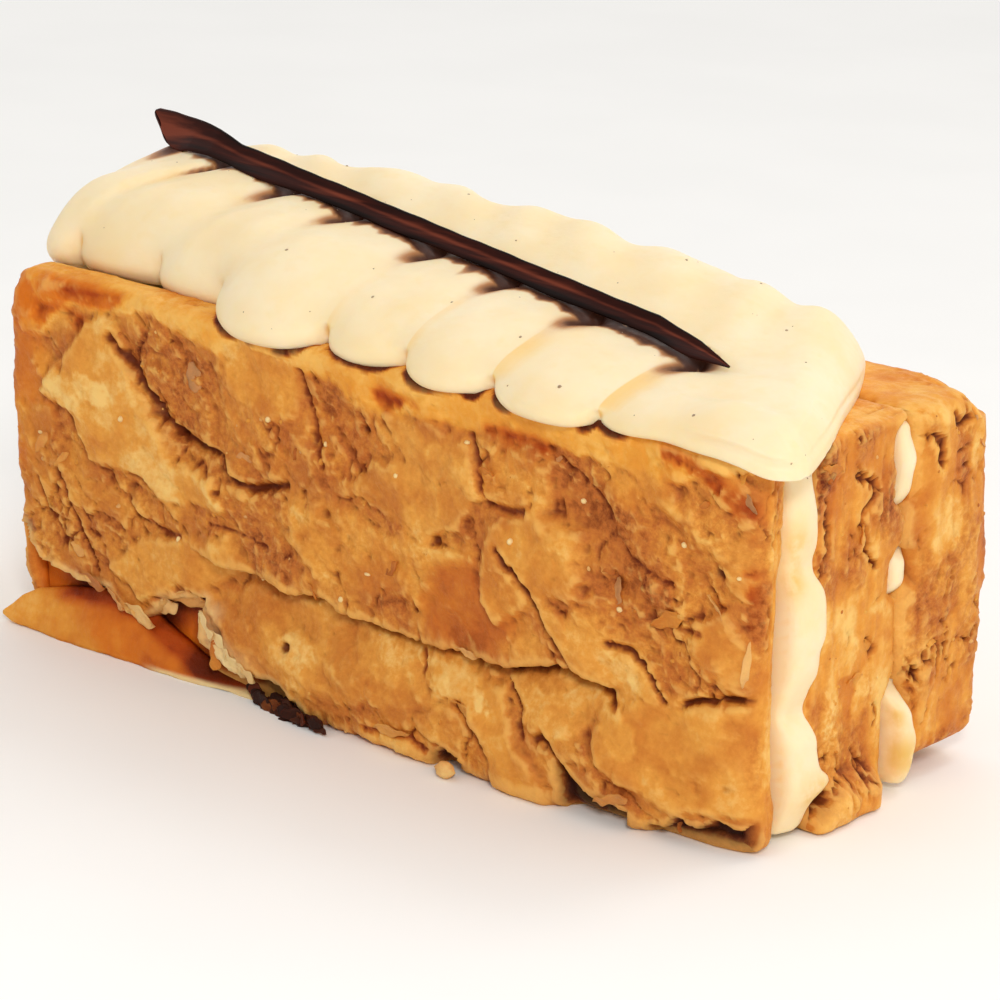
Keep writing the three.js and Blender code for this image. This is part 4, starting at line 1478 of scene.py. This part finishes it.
# The upper edge of the leaf that sticks out at the lower left, bared where the corner has
# broken away, as places along X and Z
LEAF_TOP = [
    (-56.2, 1.4), (-55.0, 2.5), (-53.8, 3.6), (-51.8, 4.7), (-46.8, 6.0), (-41.7, 7.1), (-38, 7.3),
    (-34, 6.4), (-31, 5.0), (-27, 3.4), (-23, 1.8), (-15, 0.8),
]


def leaf_section(x):
    """A closed ring round the leaf at a place along X."""
    start, end = LEAF_TOP[0][0], LEAF_TOP[-1][0]
    share = (x - start) / (end - start)
    top = np.interp(x, *np.transpose(LEAF_TOP))
    bottom = np.interp(x, [start, start + 1.6, start + 4.5], [1.0, 0.3, 0.03])
    wave = 0.3 * math.sin(0.33 * x) + 0.2 * math.sin(0.71 * x + 1)
    up = np.linspace(0, 1, 18)
    front = -22.5 + 0.9 * smooth(-30, -18, x) + 0.4 * wave + 2.6 * up ** 2 * smooth(-57, -48, x)
    thick = 0.9 + 0.5 * math.sin(math.pi * min(1, share * 3 + 0.15)) * (1 - 0.4 * up)
    face = np.stack([x + 0 * up, front, mix(bottom, top, up)], -1)
    back = face + np.stack([0 * up, thick, 0 * up], -1)
    return np.concatenate([face, back[::-1]])


def caramel_leaf():
    """The smooth inner leaf, orange, with painted shade towards its upper edge under the torn
    leaves over it.
    """
    places = np.linspace(LEAF_TOP[0][0], LEAF_TOP[-1][0], 130)
    points, faces = skin([leaf_section(x) for x in places])
    out = outward(points, faces)
    x, y, z = points.T
    points = points + out * (0.22 * SWELL.layers(x * 0.25, y * 0.3, z * 0.3, octaves=3))[:, None]
    points[:, 2] = np.maximum(points[:, 2], 0)
    below_top = np.interp(x, *np.transpose(LEAF_TOP)) - z
    slanting = x + 0.9 * (z - 3)
    # Painted shade under the torn edge above, with a darker panel to the right
    shaded = smooth(2.4, 0.2, below_top) * smooth(-52, -45, x)
    shaded = shaded + 0.45 * smooth(-41, -36, slanting) + 0.4 * bump(-40.5, 2.2, slanting)
    shaded = np.clip(shaded + 0.15 * SWELL.layers(x * 0.3, z * 0.5, 4.0, octaves=2), 0, 1)
    burnt = smooth(-28, -23, x)
    masks = dict(
        tone=0.27 + 0.66 * shaded + 0.3 * burnt,
        glaze=0.45 + 0.55 * shaded,
        pale=0.85 * smooth(0.8, 0.3, z) * smooth(-33, -29, x),
        burnt=0.5 * burnt * smooth(0.6, 1.2, z),
        crumb=0.1 + 0 * x,
        hollow=0 * x,
    )
    piece("caramel_leaf", points, faces, PASTRY, None, masks)


# Small pieces: torn flakes, crumbs and vanilla seeds

FLAKE_THICKNESS = 0.28
# Flakes on the front face: place along X and Z, half length and half width, turn in
# degrees, how far the free edge stands off, how pale and which tone
FLAKES = [
    (-22.6, 7.6, 1.9, 1.3, -62, 0.8, 0.9, 0.1), (-20.8, 5.6, 2.0, 1.3, -42, 0.8, 0.95, 0.1),
    (-18.4, 4.1, 1.9, 1.1, -34, 0.7, 0.9, 0.1), (-15.8, 3.3, 1.7, 0.9, -28, 0.6, 0.7, 0.15),
    (-33.4, 6.2, 2.5, 1.0, -22, 0.8, 0.45, 0.3), (-30.6, 7.4, 1.9, 0.9, 28, 0.9, 0.5, 0.3),
    (-27.0, 9.6, 3.4, 1.1, 6, 1.1, 0.2, 0.25), (-23.9, 9.9, 2.3, 0.9, -35, 1.0, 0.3, 0.2),
    (18.4, 6.7, 2.8, 1.2, -42, 1.3, 0.1, 0.3), (54.6, 21.6, 2.6, 0.35, 84, 0.6, 0.3, 0.35),
    (44.6, 24.6, 2.2, 0.8, 30, 0.7, 0.0, 0.5), (-49.6, 24.2, 1.6, 0.4, 62, 0.6, 0.1, 0.4),
    (33.5, 15.3, 1.7, 0.6, -20, 0.8, 0.2, 0.3), (50.2, 27.0, 1.6, 0.35, -48, 0.6, 0.3, 0.3),
    (17.8, 14.6, 1.5, 0.5, -10, 0.6, 0.3, 0.3), (-46.2, 22.8, 1.4, 0.35, 50, 0.6, 0.1, 0.35),
    (-41.5, 8.4, 2.2, 0.8, -15, 0.7, 0.1, 0.6), (-37.4, 7.2, 1.8, 0.8, -40, 0.8, 0.3, 0.4),
    (8.2, 3.2, 2.4, 0.7, 5, 0.7, 0.1, 0.3), (39.5, 3.4, 2.2, 0.8, 20, 0.8, 0.1, 0.4),
]
# Pale specks painted as glints of light on the front face (X and Z), and burnt bits along
# its foot (X and Y)
GLINTS = [
    (-4.3, 33.5), (7.0, 32.2), (16.5, 38.0), (-0.5, 16.0), (33.3, 15.2), (32.4, 34.7),
    (53.0, 31.0), (-27.0, 17.0), (-50.0, 25.0), (-15.3, 14.5), (-12.0, 35.0), (24.0, 29.0),
    (46.0, 33.0), (38.0, 24.0), (-36.0, 30.0), (3.0, 20.0),
]
BURNT_BITS = [
    (-15.4, -21.6), (-14.2, -22.2), (-13.0, -22.6), (-12.0, -23.0), (-10.8, -22.9), (-9.6, -23.2),
    (-8.4, -23.6), (-7.4, -24.0), (-6.2, -24.0), (-4.8, -24.2), (-3.2, -24.4), (-11.4, -22.0),
    (-9.0, -22.4), (-6.8, -23.0),
]
BITS_IN_A_PLACE = 4
# One larger crumb in front of the foot: its middle and its half lengths
FOOT_CRUMB = (16.8, -24.8, 1.0)
FOOT_CRUMB_SIZE = (1.5, 1.1, 1.0)
# Vanilla seeds that can be made out one by one, as places along X and Y, and how many
# finer ones lie anywhere on the wave
SEEDS = [
    (-17.2, -14.6), (-2.6, -16.1), (5.8, -12.3), (17.7, -14.7), (28.6, -21.1), (46.3, -21.0),
    (33.3, 11.0), (39.9, 3.5), (46.5, -1.8), (22.0, 9.0), (-10.0, 9.0), (-30.0, 10.0),
]
STRAY_SEEDS = 60


def joined(parts):
    """Puts several small meshes into one."""
    points, faces, start = [], [], 0
    for more_points, more_faces in parts:
        points.append(more_points)
        faces += [[index + start for index in face] for face in more_faces]
        start += len(more_points)
    return np.concatenate(points), faces


def flake(centre, along, away, long, short, stand_off, draw):
    """One thin torn leaf that lies on a face and stands off at one edge. `away` points
    out of the face."""
    along = along - away * along.dot(away)
    along = along / np.linalg.norm(along)
    aside = np.cross(away, along)
    phases = draw.uniform(0, 6.3, 3)
    across = np.linspace(-1, 1, 9)
    rings = []
    for place in np.linspace(-0.98, 0.98, 15):
        ragged = 1 + 0.28 * math.sin(2.6 * place + phases[0]) + 0.16 * math.sin(7.1 * place + phases[1])
        half = short * ragged * (1 - abs(place) ** 3) ** 0.6
        lift = stand_off * ((across + 1) / 2) ** 2 + 0.12 * stand_off * math.sin(4 * place + phases[2])
        sides = []
        for side in (1, -1):
            thick = side * FLAKE_THICKNESS / 2 * np.sqrt(1.04 - across ** 2)
            middle = centre + place * long * along
            row = middle + np.outer(across * half, aside) + np.outer(lift + thick, away)
            sides.append(row[::side])
        rings.append(np.concatenate(sides)[::-1])
    return skin(rings)


def lump(centre, size, draw):
    """One uneven crumb or seed; `size` is its half length on each axis."""
    turn = -np.linspace(0, 2 * math.pi, 8, endpoint=False)
    rings = []
    for polar in np.linspace(0.4, math.pi - 0.4, 5):
        reach = draw.uniform(0.7, 1.15, len(turn))
        level = np.full(len(turn), math.cos(polar))
        reach = reach * math.sin(polar)
        ring = np.stack([reach * np.cos(turn), reach * np.sin(turn), level], -1)
        rings.append(centre + ring * size)
    return skin(rings)


def nearest(surface, axes, place):
    """The point of a surface nearest to a place on two axes, with its outward direction."""
    points, out = surface
    index = np.argmin(((points[:, axes] - place) ** 2).sum(1))
    return points[index], out[index]


def facing(surface, direction):
    """The part of a surface that faces a direction."""
    points, out = surface[:2]
    chosen = out @ np.array(direction, float) > 0.85
    return points[chosen], out[chosen]


def scattered(surface, count, draw):
    """Random places on a surface."""
    chosen = draw.integers(0, len(surface[0]), count)
    return zip(surface[0][chosen], surface[1][chosen])


# The makers below give each part with its looks: its tone, how pale and how burnt it is

def named_flakes(face, draw):
    """The flakes that the photo shows on the front face."""
    for x, z, long, short, turn, stand_off, pale, tone in FLAKES:
        centre, away = nearest(face, [0, 2], (x, z))
        turn = math.radians(turn)
        along = np.array([math.cos(turn), 0, math.sin(turn)])
        yield flake(centre, along, away, long, short, stand_off, draw), (tone, pale, 0)


def stray_flakes(places, draw):
    """Smaller flakes, scattered over the faces."""
    for surface, count in places:
        for centre, away in scattered(surface, count, draw):
            long = draw.uniform(0.7, 1.9)
            sunk = centre - 0.16 * away
            along = draw.normal(size=3)
            short = long * draw.uniform(0.25, 0.5)
            part = flake(sunk, along, away, long, short, 0.35, draw)
            yield part, (draw.uniform(0.3, 0.75), draw.choice((0, 0, 0, 0.2)), 0)


def glints(face, draw):
    """Pale specks that stand for glints of light on the front face: painted highlights."""
    for place in GLINTS:
        centre, _ = nearest(face, [0, 2], place)
        yield lump(centre, draw.uniform(0.18, 0.48, 3), draw), (0.1, 0.8, 0)


def burnt_bits(draw):
    """Burnt flakes and grains along the foot."""
    for x, y in BURNT_BITS:
        for _ in range(BITS_IN_A_PLACE):
            centre = np.array([x, y + 0.5, 0.6]) + draw.normal(0, (0.5, 0.25, 0.3))
            away = np.array([0.1, -1.0, 0.6]) + draw.normal(0, 0.3, 3)
            away /= np.linalg.norm(away)
            along = np.array([1.0, -0.2, -0.1]) + draw.normal(0, 0.35, 3)
            long = draw.uniform(0.8, 1.7)
            leaf = flake(centre, along, away, long, 0.4 * long, 0.25, draw)
            grain = lump(centre, draw.uniform(0.12, 0.3, 3), draw)
            yield leaf, (1.0, 0, draw.choice((0.5, 0.85, 0.95, 1.0)))
            yield grain, (0.9, 0, 0.6)


def foot_crumb(draw):
    return lump(np.array(FOOT_CRUMB), np.array(FOOT_CRUMB_SIZE), draw), (0.15, 0.3, 0)


def stray_crumbs(places, draw):
    for surface, count in places:
        for centre, away in scattered(surface, 5 * count, draw):
            size = draw.uniform(0.12, 0.38) * draw.uniform(0.6, 1.2, 3)
            part = lump(centre - 0.08 * away, size, draw)
            yield part, (draw.uniform(0.2, 0.7), draw.choice((0, 0, 0, 0.3)), 0)


def flakes_and_crumbs(front, middle, rear):
    """Everything loose that the pastry has shed or lifts, as two pieces."""
    draw = np.random.default_rng(77)
    face = facing(front, (0, -1, 0))
    crumbly = front[2] > 0.3
    places = [
        (facing((front[0][crumbly], front[1][crumbly]), (0, -1, 0)), 16),
        (facing(middle, (1, 0, 0)), 4),
        (facing(rear, (1, 0, 0)), 4),
        (facing(rear, (0, 1, 0)), 18),
        (facing(middle, (-1, 0, 0)), 4),
        (facing(rear, (-1, 0, 0)), 4),
        (facing(rear, (0, 0, 1)), 3),
    ]
    made = {
        "torn_flakes": [*named_flakes(face, draw), *stray_flakes(places, draw)],
        "pastry_crumbs": [
            *glints(face, draw),
            *burnt_bits(draw),
            foot_crumb(draw),
            *stray_crumbs(places, draw),
        ],
    }
    for name, parts_and_looks in made.items():
        parts, looks = zip(*parts_and_looks)
        points, faces = joined(parts)
        points[:, 2] = np.maximum(points[:, 2], 0)
        tone, pale, burnt = np.repeat(looks, [len(part[0]) for part in parts], axis=0).T
        none = 0 * tone
        masks = dict(tone=tone, pale=pale, burnt=burnt, glaze=none, crumb=none, hollow=none)
        piece(name, points, faces, PASTRY, None, masks)


def vanilla_seeds(wave):
    """Seeds half sunk in the wave, all in one piece."""
    draw = np.random.default_rng(78)
    upper = facing(wave, (0, -0.35, 0.94))
    rounded = wave[1][:, 2] > 0.1
    anywhere = (wave[0][rounded], wave[1][rounded])
    parts = []
    for place in SEEDS:
        centre, away = nearest(upper, [0, 1], place)
        parts.append(lump(centre - 0.16 * away, draw.uniform(0.2, 0.32, 3), draw))
    for centre, away in scattered(anywhere, STRAY_SEEDS, draw):
        parts.append(lump(centre - 0.08 * away, draw.uniform(0.07, 0.17, 3), draw))
    points, faces = joined(parts)
    piece("vanilla_seeds", points, faces, SEED)


# Everything

# How far the cream swells out at each end: heights along Z, and millimetres
FRONT_CREAM_RIGHT = [
    (0, 0.8), (2.6, 1.8), (4.4, 3.0), (6, 3.8), (9, 3.2), (12, 3.0), (14.2, 0.6), (16, 1.6),
    (19, 2.8), (24, 3.4), (28, 2.8), (30.6, 1.2), (33, 1.8), (37, 1.6), (41, 0.6), (44, 0),
]
FRONT_CREAM_LEFT = [(0, 1.0), (8, 2.4), (16, 1.0), (26, 2.6), (36, 1.4), (41, 0.2)]
REAR_CREAM_RIGHT = [
    (0, 1.6), (3, 3.0), (6, 3.2), (10, 2.0), (13, -2.0), (21.5, -2.5), (23.5, 0.5), (27, 0.5),
    (28.5, -2.5), (31, -2.5), (34, 0.6), (38, 1.2), (41, 0.2),
]
REAR_CREAM_LEFT = [(0, 0.6), (10, 1.2), (20, 0.2), (30, 1.2), (41, 0.2)]

PASTRY = pastry_material()
CREAM = cream_material()
CHOCOLATE = chocolate_material()
SEED = seed_material()

wave = topping()
WAVE_EDGE = wave[2]
front_slab = slab(
    "front_slab", "pastry_front", FRONT_SLAB_LEFT, END, step=0.34, rounding=2.0, seed=3,
    hidden=("+y", "-z"), warp=warp_front, front=front_face,
)
middle_slab = slab(
    "middle_slab", "pastry_middle", 0.5 - END, END - 0.5, step=0.34, rounding=1.0, seed=30,
    hidden=("-y", "+y", "-z"), warp=warp_middle,
)
rear_slab = slab(
    "rear_slab", "pastry_rear", -END - 0.3, END + 0.5, step=0.36, rounding=2.6, seed=60,
    hidden=("-y", "-z"), warp=warp_rear,
)
cream_layer(
    "front_cream", "cream_front", top_gap=0.2, tip=2.4, seed=1,
    right_bulge=FRONT_CREAM_RIGHT, left_bulge=FRONT_CREAM_LEFT,
)
cream_layer(
    "rear_cream", "cream_rear", top_gap=1.6, tip=0.0, seed=3,
    right_bulge=REAR_CREAM_RIGHT, left_bulge=REAR_CREAM_LEFT,
)
blade()
caramel_leaf()
flakes_and_crumbs(front_slab, middle_slab, rear_slab)
vanilla_seeds(wave)


# Stage, light and camera

def floor():
    """A wide pale floor."""
    side = 3.0
    corners = [(-side, -side, 0), (side, -side, 0), (side, side, 0), (-side, side, 0)]
    mesh = mesh_of("floor", corners, [(0, 1, 2, 3)])
    s = Shader("pale_floor")
    fine = s.noise(40.0, detail=2)
    colour = s.blend(s.step(fine, 0.3, 0.7), srgb(*FLOOR_GREY), srgb(*FLOOR_WHITE))
    mesh.materials.append(s.surface(Base_Color=colour, Roughness=0.9))
    put_in_scene("floor", mesh)


def lamp(name, place, aim, size, power, colour):
    """A round lamp; place, aim and size are in metres."""
    light = bpy.data.lights.new(name, "AREA")
    light.shape = "DISK"
    light.size = size
    light.energy = power
    light.color = colour
    made = put_in_scene(name, light)
    made.matrix_world = looking(place, np.array(place) - np.array(aim), 0)


def looking(place, back, roll):
    """A matrix at that place, with its -Z away from `back`, turned by `roll` degrees."""
    back = np.array(back, float) / np.linalg.norm(back)
    right = np.cross((0, 0, 1), back)
    right /= np.linalg.norm(right)
    up = np.cross(back, right)
    cos, sin = math.cos(math.radians(roll)), math.sin(math.radians(roll))
    matrix = Matrix.Identity(4)
    for column, axis in enumerate((cos * right + sin * up, cos * up - sin * right, back, place)):
        for row in range(3):
            matrix[row][column] = axis[row]
    return matrix


# The studio is brighter behind the food than in front of it
SKY_FRONT, SKY_BACK = 0.44, 1.14
SKY_TINT = (1.0, 0.985, 0.965)


def sky():
    """A pale sky whose light fades from back to front."""
    world = bpy.data.worlds.new("studio")
    world.use_nodes = True
    nodes = Nodes(world.node_tree)
    place = nodes.add("ShaderNodeTexCoord").outputs["Generated"]
    depth = nodes.add("ShaderNodeSeparateXYZ", {0: place}).outputs["Y"]
    share = nodes.add("ShaderNodeMapRange", {"Value": depth, "From Min": -0.9, "From Max": 0.7})
    front, back = (tuple(level * c for c in SKY_TINT) + (1,) for level in (SKY_FRONT, SKY_BACK))
    colour = nodes.blend(share.outputs["Result"], front, back)
    background = world.node_tree.nodes["Background"]
    nodes.put(background.inputs["Color"], colour)
    nodes.put(background.inputs["Strength"], 1.0)
    bpy.context.scene.world = world


def lamps():
    middle = (0.0, 0.0, 0.025)
    lamp("key", (0.12, 0.26, 0.46), middle, size=0.14, power=0.22, colour=(1.0, 0.97, 0.93))
    lamp("side", (0.38, -0.40, 0.36), middle, size=0.12, power=1.4, colour=(1.0, 0.98, 0.93))


# The photo's view, worked out from the corners of the slice: degrees round from the front,
# up and rolled, metres from what it aims at, and the aim in millimetres
VIEW_ROUND, VIEW_UP, VIEW_ROLL = 39.5, 17.6, 1.47
VIEW_DISTANCE = 0.461
VIEW_AIM = (3.3, 0.0, 23.6)


def view():
    """The camera, far off with a long lens."""
    turn, up = math.radians(VIEW_ROUND), math.radians(VIEW_UP)
    back = np.array([math.sin(turn) * math.cos(up), -math.cos(turn) * math.cos(up), math.sin(up)])
    data = bpy.data.cameras.new("camera")
    data.sensor_width = 36
    data.lens = 144
    data.clip_start = 0.01
    camera = put_in_scene("camera", data)
    camera.matrix_world = looking(to_frame(VIEW_AIM) + back * VIEW_DISTANCE, back, VIEW_ROLL)
    bpy.context.scene.camera = camera
    bpy.context.scene.view_settings.view_transform = "Standard"


floor()
sky()
lamps()
view()
